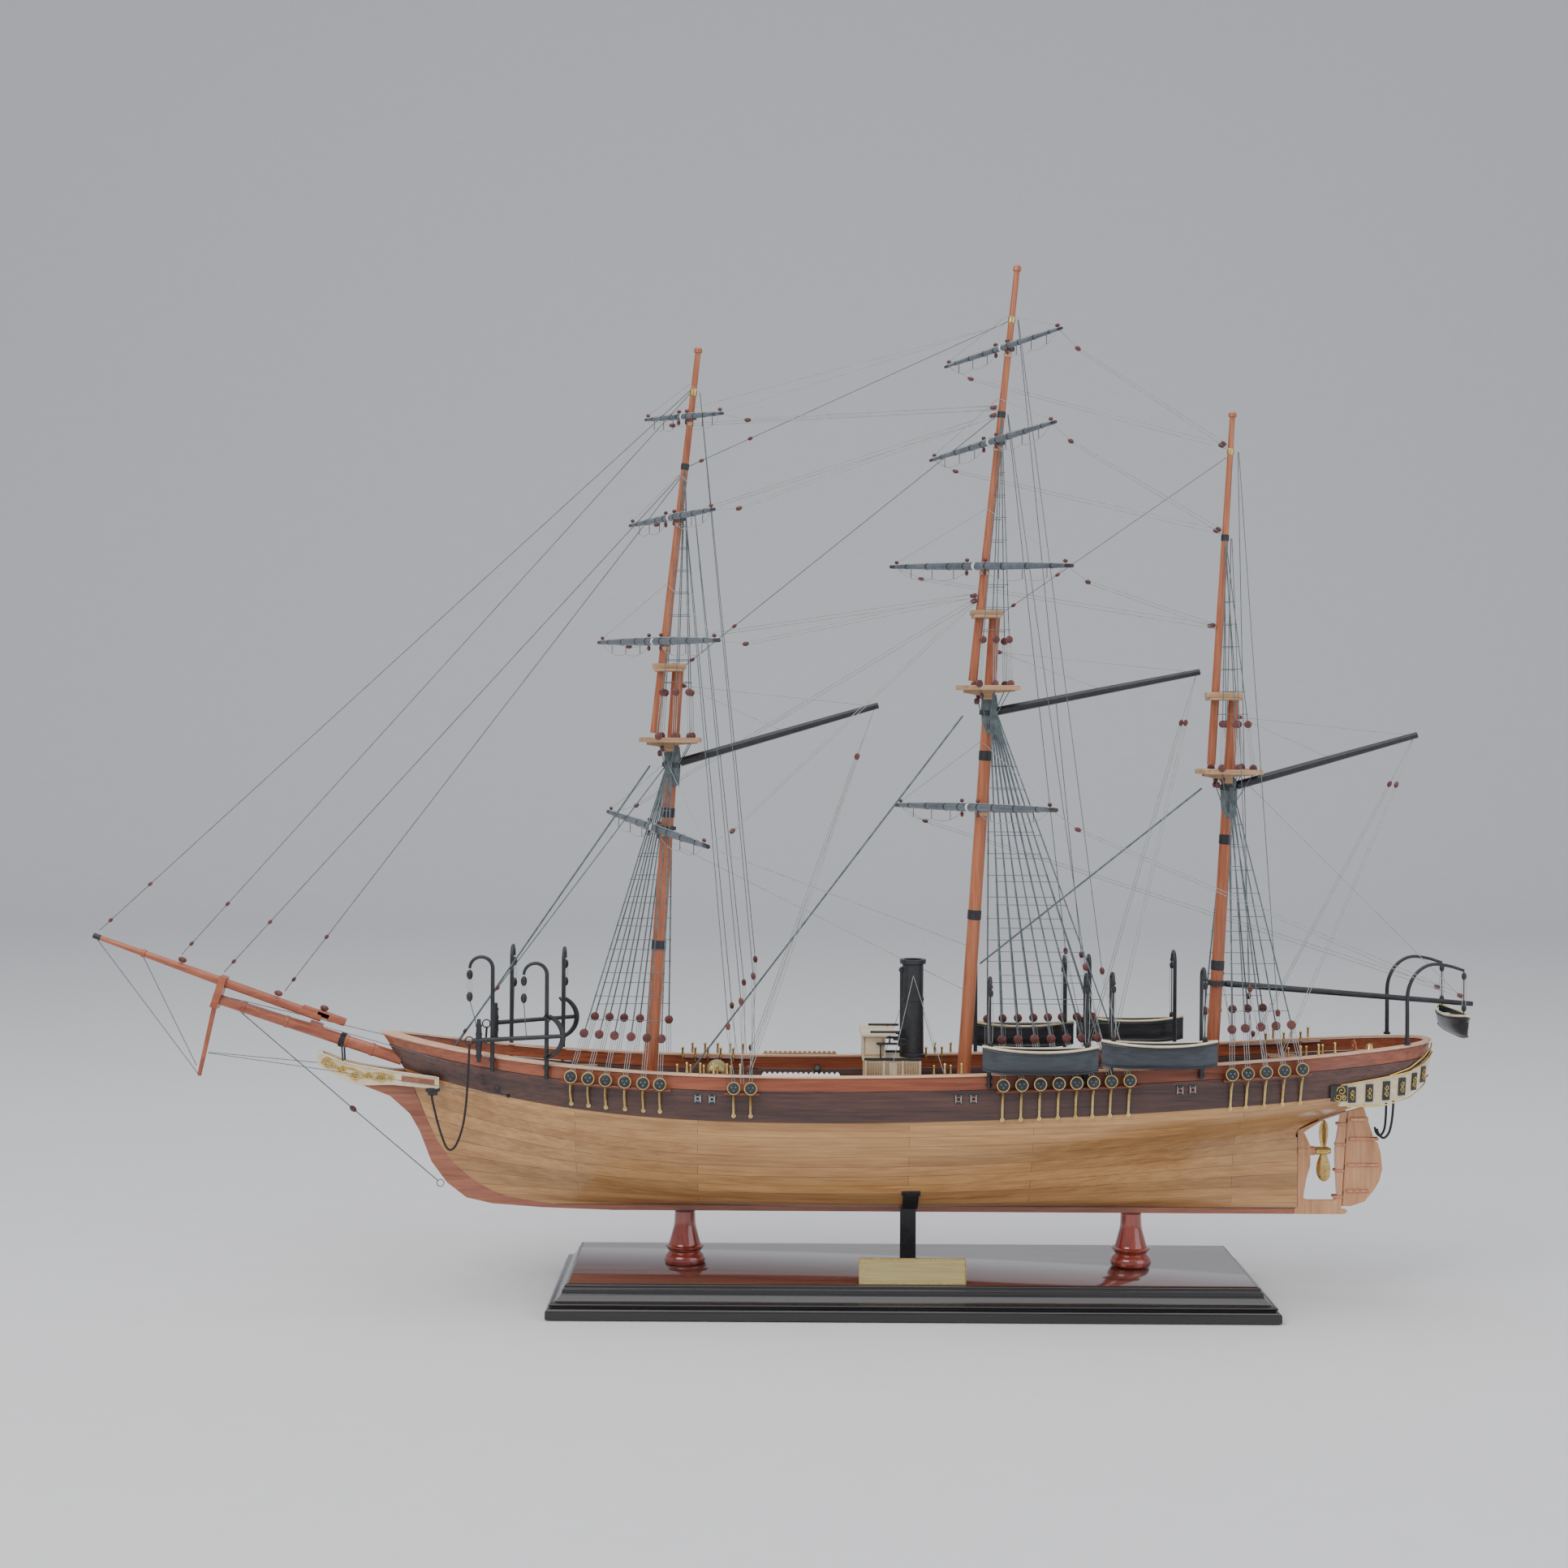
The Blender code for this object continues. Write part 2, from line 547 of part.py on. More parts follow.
def make_stern_frame():
    """The keel's after end, the two posts and the arch that frame the screw."""
    outer = [(-239.3, KEEL_BOTTOM), (-269.0, KEEL_BOTTOM), (-271.3, 54.6), (-271.9, 56.0),
             (-268.1, 56.6), (-271.1, 117.2), (-258.0, 113.0), (-241.3, 105.2), (-241.3, KEELSON_LINE + 0.4),
             (-239.3, KEELSON_LINE - GAP)]
    opening = [(-247.5, 62.1), (-244.8, 64.0), (-246.5, 75.0), (-249.0, 83.6), (-249.0, 96.0),
               (-245.0, 104.0), (-254.0, 110.0), (-257.5, 112.0), (-268.0, 115.4), (-264.6, 95.0),
               (-264.6, 86.0), (-265.8, 64.0), (-263.5, 62.1)]
    cut = Shape().plate(opening, -6.0, 6.0)
    boss = Shape().rod([(-241.3, 0.0, SHAFT_Z), (-252.0, 0.0, SHAFT_Z)], [3.4, 2.8], sides=14)
    frame = Shape().plate(outer, -KEEL_HALF_WIDTH, KEEL_HALF_WIDTH)
    bore = Shape().rod([(-243.0, 0.0, SHAFT_Z), (-256.0, 0.0, SHAFT_Z)], [1.6, 1.6], sides=12)
    shape = joined("stern_frame", frame, cut, "DIFFERENCE")
    shape = joined("stern_frame", shape, boss, "UNION")
    piece("stern_frame", shape, cut=bore)


# Section of a blade: (share of the half chord, half thickness)
SCREW_SECTION = ((-1.0, 0.0), (-0.4, 0.45), (0.4, 0.45), (1.0, 0.0), (0.4, -0.45), (-0.4, -0.45))


def make_screw():
    """Two blades on a hub, upright at rest, each twisted from root to tip."""
    pivot = Vector((SHAFT_X, 0.0, SHAFT_Z))
    hub = Shape().turned((-244.0, 0.0, SHAFT_Z), (-1, 0, 0),
                         ((0.0, 1.2), (8.5, 1.2), (8.6, 2.5), (16.0, 2.5), (18.0, 1.4)), sides=14)
    blades = Shape()
    for side in (1, -1):
        rings = []
        # Blade sections: share of the radius, half chord, pitch angle in degrees from the disc's plane
        for share, half_chord, pitch in ((0.07, 1.6, 60.0), (0.22, 3.0, 54.0), (0.42, 4.4, 50.0),
                                         (0.62, 5.1, 48.0), (0.82, 4.5, 47.0), (0.94, 2.9, 46.0),
                                         (1.0, 0.9, 46.0)):
            turn = math.radians(pitch)
            ring = []
            for along, thick in SCREW_SECTION:
                chord = along * half_chord
                x = chord * math.sin(turn) + thick * math.cos(turn)
                y = side * (chord * math.cos(turn) - thick * math.sin(turn))
                ring.append(pivot + Vector((x, y, side * share * SCREW_RADIUS)))
            rings.append(ring)
        blades.loft(rings)
    piece("screw", hub, pivot, add=blades)


def make_rudder():
    """The blade, its round stock on the hinge line and its four straps."""
    foot_x, foot_z = RUDDER_FOOT
    head_x, head_z = RUDDER_HEAD
    pivot = Vector((foot_x, 0.0, foot_z))
    low_z, high_z = 58.6, 117.0
    rake = (head_x - foot_x) / (head_z - foot_z)
    low_x = foot_x + rake * (low_z - foot_z)
    high_x = foot_x + rake * (high_z - foot_z)
    front = [(high_x, high_z), (low_x, low_z)]
    back = [(-274.5, 58.6), (-282.7, 61.5), (-288.5, 68.5), (-291.7, 74.0), (-293.5, 81.5), (-292.5, 91.3),
            (-290.7, 97.6), (-288.7, 98.8), (-281.9, 119.6)]
    blade = Shape().plate(front + back, -1.6 + 0.5, 1.6 - 0.5)
    ends = [(low_x, 0.0, low_z - 0.1), (high_x, 0.0, high_z + 0.1)]
    fittings = Shape().rod(ends, [STOCK_RADIUS, STOCK_RADIUS], sides=12)
    for z in (68.0, 84.0, 100.0, 112.0):
        x = foot_x + rake * (z - foot_z)
        fittings.box((x - 12.0, -1.7, z - 1.3), (x - 1.2, 1.7, z + 1.3))
    piece("rudder", blade, pivot, add=fittings)


def make_head_boards():
    # Stations of a board: x, underside, top, inner y, outer y
    rows = ((361.0, 143.5, 149.6, 0.6, 2.6), (357.4, 140.7, 149.2, 2.5, 4.1), (346.4, 134.6, 144.6, 2.5, 4.1),
            (335.7, 130.1, 142.2, 2.5, 4.1), (315.2, 130.8, 138.9, 2.6, 4.4), (303.0, 130.5, 138.0, 7.6, 9.2),
            (294.0, 130.5, 137.6, 12.6, 14.0), (284.5, 130.4, 137.1, 17.0, 18.4))
    shape = Shape()
    for side in (1, -1):
        rings = []
        for x, low, high, inner, outer in rows:
            rings.append([(x, side * inner, low), (x, side * outer, low),
                          (x, side * outer, high), (x, side * inner, high)])
        shape.loft(rings)
    tip = Shape().box((358.2, -2.0, 143.0), (361.4, 2.0, 150.4))
    piece("head_boards", tip, add=shape)


def along_table(rows, x):
    """The value at x of a line through the rows' (x, value) points, which run aft."""
    for (x0, v0), (x1, v1) in zip(rows, rows[1:]):
        if x >= x1:
            return mix(v0, v1, (x0 - x) / (x0 - x1))
    return rows[-1][1]


def make_gallery():
    """The cream window band that runs round the stern below the bulwark."""
    corners = ((GALLERY_LOW, 0.5), (GALLERY_HIGH, 0.5), (GALLERY_HIGH, 1.7), (GALLERY_LOW, 1.7))
    rings = []
    for side, stations in ((1, range(GALLERY_STATIONS, -1, -1)), (-1, range(GALLERY_STATIONS + 1))):
        for station in stations:
            x = WALE_HIGH.point(station).x
            ring = []
            for edge, out in corners:
                low = WALE_LOW.shifted(out, 0.0).point(station)
                high = WALE_HIGH.shifted(out, 0.0).point(station)
                spot = low.lerp(high, (along_table(edge, x) - low.z) / (high.z - low.z))
                ring.append((spot.x, side * spot.y, spot.z))
            rings.append(ring)
    piece("stern_gallery", Shape().loft(rings))


def mast_axis(mast, part):
    """The lower mast's or topmast's centre line as a foot and a direction."""
    data = MASTS[mast]
    if part == "lower":
        low = (data["foot_x"], deck_z(data["foot_x"]) + MAST_STEP)
        high = data["head"]
    else:
        low = data["heel"]
        high = data["truck"]
    return Vector((low[0], 0.0, low[1])), Vector((high[0], 0.0, high[1]))


def mast_at(mast, part, z):
    foot, head = mast_axis(mast, part)
    return foot.lerp(head, (z - foot.z) / (head.z - foot.z))


def mast_radius(mast, part, z):
    foot, head = mast_axis(mast, part)
    share = (z - foot.z) / (head.z - foot.z)
    data = MASTS[mast]
    if part == "lower":
        return data["lower_radius"] * mix(1.0, 0.82, share)
    return data["top_radius"] * mix(1.0, 0.62, share ** 1.5)


def make_mast(mast):
    data = MASTS[mast]
    foot, head = mast_axis(mast, "lower")
    radius = data["lower_radius"]
    pole = Shape().rod([foot, foot.lerp(head, 0.5), head], [radius, radius * 0.93, radius * 0.82], sides=16)

    at_cap = mast_at(mast, "topmast", data["cap"])
    behind = mast_at(mast, "lower", data["cap"])
    top_radius = data["top_radius"]
    low = (behind.x - 4.6, -5.0, data["cap"] - 3.6)
    cap = Shape().box(low, (at_cap.x + top_radius + 3.4, 5.0, data["cap"]))
    heel, truck = mast_axis(mast, "topmast")
    hole = Shape().rod([heel, truck], [top_radius + GAP, top_radius + GAP], sides=16)
    cap = joined(mast + "_cap", cap, hole, "DIFFERENCE")
    piece(mast + "_lower_mast", pole, add=cap)

    # The topmast tapers in three steps and ends in a round truck.
    shares = (0.0, 0.35, 0.7, 0.985, 0.99, 1.0)
    radii = [mast_radius(mast, "topmast", mix(heel.z, truck.z, share)) for share in shares]
    radii[-2:] = [2.6, 1.6]
    pole = Shape().rod([heel.lerp(truck, share) for share in shares], radii, sides=14)
    piece(mast + "_topmast", pole)

    # The top: a platform with a round front, on two trestle trees with knees.
    z = data["top"]
    centre = mast_at(mast, "lower", z).x
    front = centre + 21.0
    back = centre - 17.0
    outline = []
    for index in range(13):
        turn = math.pi * (index / 12.0 - 0.5)
        round_share = max(math.cos(turn), 0.0) ** 0.8
        outline.append((mix(centre - 2.0, front, round_share), 20.0 * math.sin(turn)))
    outline += [(back, 20.0), (back, -20.0)]
    floor = Shape().loft([[(x, y, height) for x, y in outline] for height in (z - 1.2, z + 1.0)])
    trees = Shape()
    for y in (-4.6, 4.6):
        low = [(back + 2.0, z - 2.0), (centre - 1.0, z - 3.0), (centre - 1.0, z - 7.0),
               (centre + 4.0, z - 7.0), (centre + 6.0, z - 4.4), (front - 5.0, z - 2.8),
               (front - 5.0, z - 1.0), (back + 2.0, z - 1.0)]
        trees.plate(low, y - 0.9, y + 0.9)
    hole_radius = mast_radius(mast, "lower", z) + GAP + 0.2
    hole = Shape().rod([foot, head], [hole_radius, hole_radius], sides=16)
    shape = joined(mast + "_top", floor, trees, "UNION")
    piece(mast + "_top", shape, cut=hole)


def make_yard(name, mast, part, height, length, diameter, swing, tilt):
    axis_foot, axis_head = mast_axis(mast, part)
    axis = (axis_head - axis_foot).normalized()
    centre = mast_at(mast, part, height)
    mast_r = mast_radius(mast, part, height)
    ahead = mast_r + diameter / 2 + 1.6
    turn = Matrix.Rotation(math.radians(swing), 3, "Z")
    forward = turn @ Vector((1.0, 0.0, 0.0))
    port = turn @ Vector((0.0, math.cos(math.radians(tilt)), math.sin(math.radians(tilt))))
    middle = centre + ahead * forward
    shares = (-0.5, -0.42, -0.25, 0.0, 0.25, 0.42, 0.5)
    widths = (0.22, 0.29, 0.42, 0.5, 0.42, 0.29, 0.22)
    yard = Shape().rod([middle + share * length * port for share in shares],
                       [width * diameter for width in widths], sides=8)
    yoke = Shape().hoop(centre, axis, mast_r + 0.8, mast_r + 1.8, 2.2, sides=12)
    yoke.rod([centre + (mast_r + 1.3) * forward, middle], [0.9, 0.9], sides=6)
    piece(name, yard, centre, add=yoke)


def make_gaff(name, mast, height, peak, root_radius, tip_radius):
    part_foot, part_head = mast_axis(mast, "lower")
    axis = (part_head - part_foot).normalized()
    centre = mast_at(mast, "lower", height)
    mast_r = mast_radius(mast, "lower", height)
    end = Vector((peak[0], 0.0, peak[1]))
    along = (end - centre).normalized()
    start = centre + (mast_r + 2.0) * along
    radii = [root_radius, mix(root_radius, tip_radius, 0.4), tip_radius]
    spar = Shape().rod([start, start.lerp(end, 0.5), end], radii, sides=10)
    yoke = Shape().hoop(centre, axis, mast_r + 0.8, mast_r + 2.0, 3.0, sides=12)
    yoke.rod([centre + (mast_r + 1.2) * along, start + 2.0 * along], [1.3, 1.3], sides=8)
    piece(name, spar, centre, add=yoke)


def make_bowsprit():
    foot = Vector((BOWSPRIT_FOOT[0], 0.0, BOWSPRIT_FOOT[1]))
    head = Vector((BOWSPRIT_HEAD[0], 0.0, BOWSPRIT_HEAD[1]))
    along = (head - foot).normalized()
    up = Vector((-along.z, 0.0, along.x))
    spar = Shape().rod([foot, foot.lerp(head, 0.6), head], [3.75, 3.5, 3.1], sides=14)
    cap_low = head - 3.0 * along - 5.5 * up
    ring = [cap_low, cap_low + 4.5 * along, cap_low + 4.5 * along + 20.0 * up, cap_low + 20.0 * up]
    cap = Shape().loft([[(p.x, y, p.z) for p in ring] for y in (-4.5, 4.5)])
    heel = Vector((JIB_BOOM_HEEL[0], 0.0, JIB_BOOM_HEEL[1]))
    tip = Vector((JIB_BOOM_TIP[0], 0.0, JIB_BOOM_TIP[1]))
    hole = Shape().rod([heel, tip], [2.9 + GAP, 2.9 + GAP], sides=16)
    cap = joined("bowsprit_cap", cap, hole, "DIFFERENCE")
    cap.rod([head + 0.5 * up, (434.6, 0.0, 134.8)], [1.6, 1.3], sides=10)
    chock = foot.lerp(head, 0.47)
    low = [chock - 4.0 * along, chock + 4.0 * along]
    ring = low + [low[1] + 5.6 * up, low[0] + 5.6 * up]
    cap.loft([[(p.x, y, p.z) for p in ring] for y in (-1.6, 1.6)])
    piece("bowsprit", spar, add=cap)
    path = [heel, heel.lerp(tip, 0.5), heel.lerp(tip, 0.96), tip]
    piece("jib_boom", Shape().rod(path, [2.9, 2.7, 1.5, 1.4], sides=14))


def make_channel(mast, side, front, back, places):
    """A plank standing out from the hull's side, with deadeyes on it and chain plates below."""
    name = mast + "_channel_" + ("port" if side > 0 else "starboard")
    outer = WALE_HIGH.shifted(0.6, -1.2)
    steps = 5
    rings = []
    for index in range(steps + 1):
        x = mix(back, front, index / steps)
        _, y, z = outer.at(x)
        edge = side * (y + CHANNEL_WIDTH)
        top = z + CHANNEL_THICKNESS
        rings.append([(x, side * y, z), (x, edge, z), (x, edge, top), (x, side * y, top)])
    plank = Shape().loft(rings)
    extra = Shape()
    for x in places:
        _, y, z = outer.at(x)
        y += CHANNEL_WIDTH - 1.9
        top = z + CHANNEL_THICKNESS + DEADEYE_RADIUS - 0.8
        start = (x, side * (y - DEADEYE_THICKNESS / 2), top)
        extra.turned(start, (0, side, 0), ((0.0, DEADEYE_RADIUS - 0.5), (0.5, DEADEYE_RADIUS),
                                           (DEADEYE_THICKNESS - 0.5, DEADEYE_RADIUS),
                                           (DEADEYE_THICKNESS, DEADEYE_RADIUS - 0.5)), sides=8)
    piece(name, plank, add=extra)


def boat_shape(centre, heading, length, beam, depth, keel_z):
    """An open double-ended boat: a hull with a hollow, its stations set along its heading."""
    along = Vector((math.cos(heading), math.sin(heading), 0.0))
    side = Vector((-along.y, along.x, 0.0))
    base = Vector((centre[0], centre[1], keel_z))
    rings = []
    stations = 9
    for index in range(stations):
        share = 2.0 * index / (stations - 1) - 1.0
        full = max(1.0 - abs(share) ** 2.4, 0.06)
        half = beam / 2 * full
        rise = depth * (1.0 + 0.18 * share * share)
        low = depth * 0.18 * share ** 4
        inner = half * 0.82
        points = ((0.0, low), (half * 0.62, low + depth * 0.16), (half * 0.96, low + depth * 0.55),
                  (half, rise), (inner, rise), (inner * 0.86, mix(low, rise, 0.45)),
                  (-inner * 0.86, mix(low, rise, 0.45)), (-inner, rise), (-half, rise),
                  (-half * 0.96, low + depth * 0.55), (-half * 0.62, low + depth * 0.16))
        here = base + share * length / 2 * along
        rings.append([here + y * side + Vector((0, 0, z)) for y, z in points])
    return Shape().loft(rings)


def davit(foot, out, height, reach):
    """A bent iron: up from its foot, then over in a half-round arch along the direction out."""
    foot = Vector(foot)
    out = Vector(out).normalized()
    path = [foot, foot + Vector((0, 0, 0.5 * height)), foot + Vector((0, 0, height - reach / 2))]
    for index in range(1, 7):
        turn = math.pi * index / 6.0
        path.append(foot + Vector((0, 0, height - reach / 2 + reach / 2 * math.sin(turn)))
                    + reach / 2 * (1.0 - math.cos(turn)) * out)
    radii = [1.3, 1.25, 1.2] + [mix(1.2, 0.9, index / 6.0) for index in range(1, 7)]
    return path, radii


def make_quarter_boat(name, side, x, keel_z, davits):
    """A boat with the two irons that carry it, hung from them by its falls."""
    word = "port" if side > 0 else "starboard"
    boat = boat_shape((x, side * BOAT_Y), 0.0, BOAT_LENGTH, BOAT_BEAM, BOAT_DEPTH, keel_z)
    extra = Shape()
    for davit_x in davits:
        _, y, z = RAIL_TOP.shifted(1.0, 0.0).at(davit_x)
        foot_y = y + 1.4 + GAP
        foot = (davit_x, side * foot_y, z - 8.0)
        path, radii = davit(foot, (0, side, 0), 66.0, BOAT_Y - foot_y)
        extra.rod(path, radii, sides=6)
        tip = path[-1]
        extra.rod([tip + Vector((0, 0, 0.6)), Vector((tip.x, tip.y, keel_z + 6.0))], [0.8, 0.8], sides=6)
    piece(name + "_boat_" + word, boat, add=extra)


def make_stern_boat():
    """The boat across the stern, hung from two irons that bend aft over the rail."""
    boat = boat_shape((-336.5, 0.0), math.pi / 2, 64.0, 14.0, 12.0, 165.5)
    extra = Shape()
    for side in (1, -1):
        y = side * 24.0
        z = RAIL_TOP.z_at(-302.3) + GAP
        path = [Vector((x, y, height)) for x, height in
                ((-302.3, z), (-302.3, 178.0), (-302.3, 190.0), (-303.6, 197.0), (-307.0, 203.5),
                 (-312.5, 208.2), (-319.0, 210.0), (-328.0, 208.8), (-336.5, 206.2))]
        extra.rod(path, [1.3, 1.3, 1.25, 1.2, 1.2, 1.15, 1.1, 1.0, 0.9], sides=6)
        tip = path[-1]
        extra.rod([tip + Vector((0, 0, 0.6)), Vector((tip.x, tip.y, 171.0))], [0.8, 0.8], sides=6)
    piece("stern_boat", boat, add=extra)


# Anchors: side, set outward from the port one's place, arch of the irons, and for each iron its x,
# its top and where its fall meets the shank
ANCHORS = (
    (1, 0.0, (1.0, 0.0, 0.0), ((250.3, 212.0, (257.0, 37.1, 162.4)), (217.0, 209.0, (229.0, 40.3, 164.3)))),
    (-1, 9.5, (0.0, -1.0, 0.0), ((246.5, 212.0, (247.0, 38.2, 163.0)), (214.5, 210.0, (214.5, 42.0, 165.3)))),
)


def make_anchor(side, outward, arch, irons):
    """An anchor at the bow between its two irons."""
    word = "port" if side > 0 else "starboard"

    def at(x, y, z):
        return Vector((x, side * (y + outward), z))

    shank = Shape().rod([at(262.0, 36.5, 162.0), at(206.0, 43.0, 166.0)], [1.5, 1.2], sides=8)
    extra = Shape()
    extra.rod([at(258.0, 36.5, 150.0), at(258.0, 36.5, 174.0)], [1.5, 1.5], sides=8)
    arms = []
    for index in range(7):
        turn = math.radians(-60.0 + 20.0 * index)
        arms.append(at(223.0 - 16.0 * math.cos(turn), 42.37, 165.45 + 14.0 * math.sin(turn)))
    extra.rod(arms, [0.7, 1.2, 1.4, 1.6, 1.4, 1.2, 0.7], sides=6)
    for x, top, hook in irons:
        _, y, z = RAIL_TOP.at(x)
        foot = (x, side * (y + 3.6), z - 9.0)
        path, radii = davit(foot, arch, top - z + 9.0, 13.8)
        extra.rod(path, radii, sides=6)
        tip = path[-1]
        fall = [tip + Vector((0, 0, 0.6)), Vector((tip.x, tip.y, 186.0)), at(*hook)]
        extra.rod(fall, [0.8, 0.8, 0.8], sides=6)
    piece("anchor_" + word, shank, add=extra)


def smooth_route(points, count):
    """Evenly spaced points on a smooth curve through the route's points."""
    points = [Vector(p) for p in points]
    padded = [2 * points[0] - points[1]] + points + [2 * points[-1] - points[-2]]
    fine = []
    for i in range(len(points) - 1):
        a, b, c, d = padded[i:i + 4]
        for j in range(20):
            t = j / 20.0
            fine.append(0.5 * (2 * b + (c - a) * t + (2 * a - 5 * b + 4 * c - d) * t * t
                               + (3 * b - a - 3 * c + d) * t ** 3))
    fine.append(points[-1])
    lengths = [0.0]
    for before, after in zip(fine, fine[1:]):
        lengths.append(lengths[-1] + (after - before).length)
    result = []
    for index in range(count):
        wanted = lengths[-1] * index / (count - 1)
        place = next(i for i in range(1, len(fine)) if lengths[i] >= wanted - 1e-9)
        share = (wanted - lengths[place - 1]) / (lengths[place] - lengths[place - 1])
        result.append(fine[place - 1].lerp(fine[place], share))
    return result


# Route of an anchor cable on the port side: out of the hawse hole, down the bow and up to the anchor's ring
CABLE_ROUTE = ((289.0, 15.6, 127.0), (288.4, 19.4, 124.6), (287.0, 20.6, 119.0), (284.6, 21.2, 110.0),
               (281.6, 21.8, 101.0), (278.6, 23.2, 95.0), (275.0, 26.0, 94.8), (271.4, 28.8, 100.0),
               (268.0, 31.6, 110.0), (266.0, 33.6, 122.0), (264.8, 35.2, 136.0), (264.0, 36.2, 150.0),
               (263.6, 36.5, 160.0))


def make_cable(side, outward):
    word = "port" if side > 0 else "starboard"
    name = "anchor_cable_" + word
    curve = bpy.data.curves.new(name, "CURVE")
    curve.dimensions = "3D"
    curve.bevel_depth = 0.7 * MM
    curve.bevel_resolution = 2
    curve.use_fill_caps = True
    spline = curve.splines.new("POLY")
    last = len(CABLE_ROUTE) - 1
    points = [(x, side * (y + outward * (i / last) ** 2), z) for i, (x, y, z) in enumerate(CABLE_ROUTE)]
    route = smooth_route(points, 30)
    spline.points.add(len(route) - 1)
    for point, place in zip(spline.points, route):
        point.co = (*((place - ORIGIN) * MM), 1.0)
    item = bpy.data.objects.new(name, curve)
    item.data.materials.append(finish(name))
    bpy.context.collection.objects.link(item)


def make_house_and_funnel():
    z = deck_z(-8.5) + GAP
    lower = Shape().box((-8.5, -17.0, z), (25.5, 17.0, 149.0))
    upper = Shape().box((13.0, -12.0, 148.0), (27.0, 12.0, 164.0))
    upper.box((7.0, -18.0, 164.0), (28.0, 18.0, 165.6))
    upper.box((12.0, -17.0, 163.0), (28.0, 17.0, 165.0))
    piece("bridge_house", lower, add=upper)
    profile = ((0.0, 6.5), (12.0, 6.5), (57.0, 6.5), (57.2, 8.0), (59.6, 8.0), (59.6, 5.4), (52.0, 5.4))
    funnel = Shape().turned((-4.2, 0.0, 149.0 + GAP), (0, 0, 1), profile, sides=20)
    pipe = Shape().rod([(2.6, 0.0, 149.0 + GAP), (2.6, 0.0, 204.0)], [1.2, 1.2], sides=8)
    piece("funnel", funnel, add=pipe)


def make_stays():
    for name, upper, lower in STAYS:
        piece(name, Shape().rod([(upper[0], 0.0, upper[1]), (lower[0], 0.0, lower[1])], [0.6, 0.6], sides=8))


def make_model():
    for item in list(bpy.data.objects):
        bpy.data.objects.remove(item, do_unlink=True)
    make_plinth()
    make_pedestals()
    make_strap()
    make_plate()
    make_hull()
    make_deck()
    make_keel()
    make_stern_frame()
    make_screw()
    make_rudder()
    make_head_boards()
    make_gallery()
    make_house_and_funnel()
    for mast in MASTS:
        make_mast(mast)
    make_bowsprit()
    for row in YARDS:
        make_yard(*row)
    for row in GAFFS:
        make_gaff(*row)
    for side in (1, -1):
        for mast, front, back, places in CHANNELS:
            make_channel(mast, side, front, back, places)
        for name, x, keel_z, davits in BOATS:
            make_quarter_boat(name, side, x, keel_z, davits)
    for row in ANCHORS:
        make_anchor(*row)
        make_cable(*row[:2])
    make_stern_boat()
    make_stays()


make_model()
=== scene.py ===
# Finishes and small parts of a sailing ship display model, made over its packed frame.
# Shapes are worked out in millimetres in the ship's own frame: x to the bow, y to port, z up.
# They are moved to the row's frame, and to metres, when a mesh is made.

import math

import bmesh
import bpy
import numpy as np
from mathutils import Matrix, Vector


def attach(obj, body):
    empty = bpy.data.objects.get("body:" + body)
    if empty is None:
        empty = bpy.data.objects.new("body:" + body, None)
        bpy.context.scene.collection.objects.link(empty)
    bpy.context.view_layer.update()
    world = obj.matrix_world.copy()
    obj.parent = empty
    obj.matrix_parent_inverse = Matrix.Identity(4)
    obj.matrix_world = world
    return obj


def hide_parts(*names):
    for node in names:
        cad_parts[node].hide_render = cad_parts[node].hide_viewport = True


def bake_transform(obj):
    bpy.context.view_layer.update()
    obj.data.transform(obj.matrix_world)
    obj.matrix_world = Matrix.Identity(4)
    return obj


bl_info = {
    "name": "Sailing ship display model",
    "version": (1, 0, 0),
    "blender": (4, 5, 0),
    "location": "View3D > Sidebar > Ship model",
    "description": "Builds the finishes and the small parts of a sailing ship display model on its frame",
    "category": "Object",
}

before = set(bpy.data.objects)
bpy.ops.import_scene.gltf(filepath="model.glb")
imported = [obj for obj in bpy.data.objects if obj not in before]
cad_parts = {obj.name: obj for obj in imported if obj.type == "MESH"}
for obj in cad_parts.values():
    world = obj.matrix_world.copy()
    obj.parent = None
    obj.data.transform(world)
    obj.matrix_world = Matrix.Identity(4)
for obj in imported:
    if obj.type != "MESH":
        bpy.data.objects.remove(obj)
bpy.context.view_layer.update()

MM = 0.001
ORIGIN = np.array((-2.0, 0.0, 2.2))
STAND_TOP = 21.3
Z = np.array((0.0, 0.0, 1.0))
SIDES = (1, -1)


def mix(a, b, share):
    return a + (b - a) * share


def unit(vectors):
    """Vectors of length one, along the last axis."""
    return vectors / np.maximum(np.linalg.norm(vectors, axis=-1, keepdims=True), 1e-9)


def vec(*values):
    return np.array(values, float)


def tube(paths, radius, sides=6):
    """Round threads and rods: at each point of a path, radius * (cos a * side + sin a * lift) for a round the circle."""
    paths = np.asarray(paths, float)
    paths = paths[None] if paths.ndim == 2 else paths
    along = unit(np.gradient(paths, axis=1))
    least = np.abs(along).mean(axis=1).argmin(axis=1)
    side = unit(np.cross(along, np.eye(3)[least][:, None, :]))
    lift = np.cross(side, along)
    turn = np.arange(sides) * 2.0 * np.pi / sides
    circle = np.cos(turn)[:, None] * side[:, :, None] + np.sin(turn)[:, None] * lift[:, :, None]
    radius = np.broadcast_to(np.asarray(radius, float), paths.shape[:2])
    return paths[:, :, None] + radius[:, :, None, None] * circle


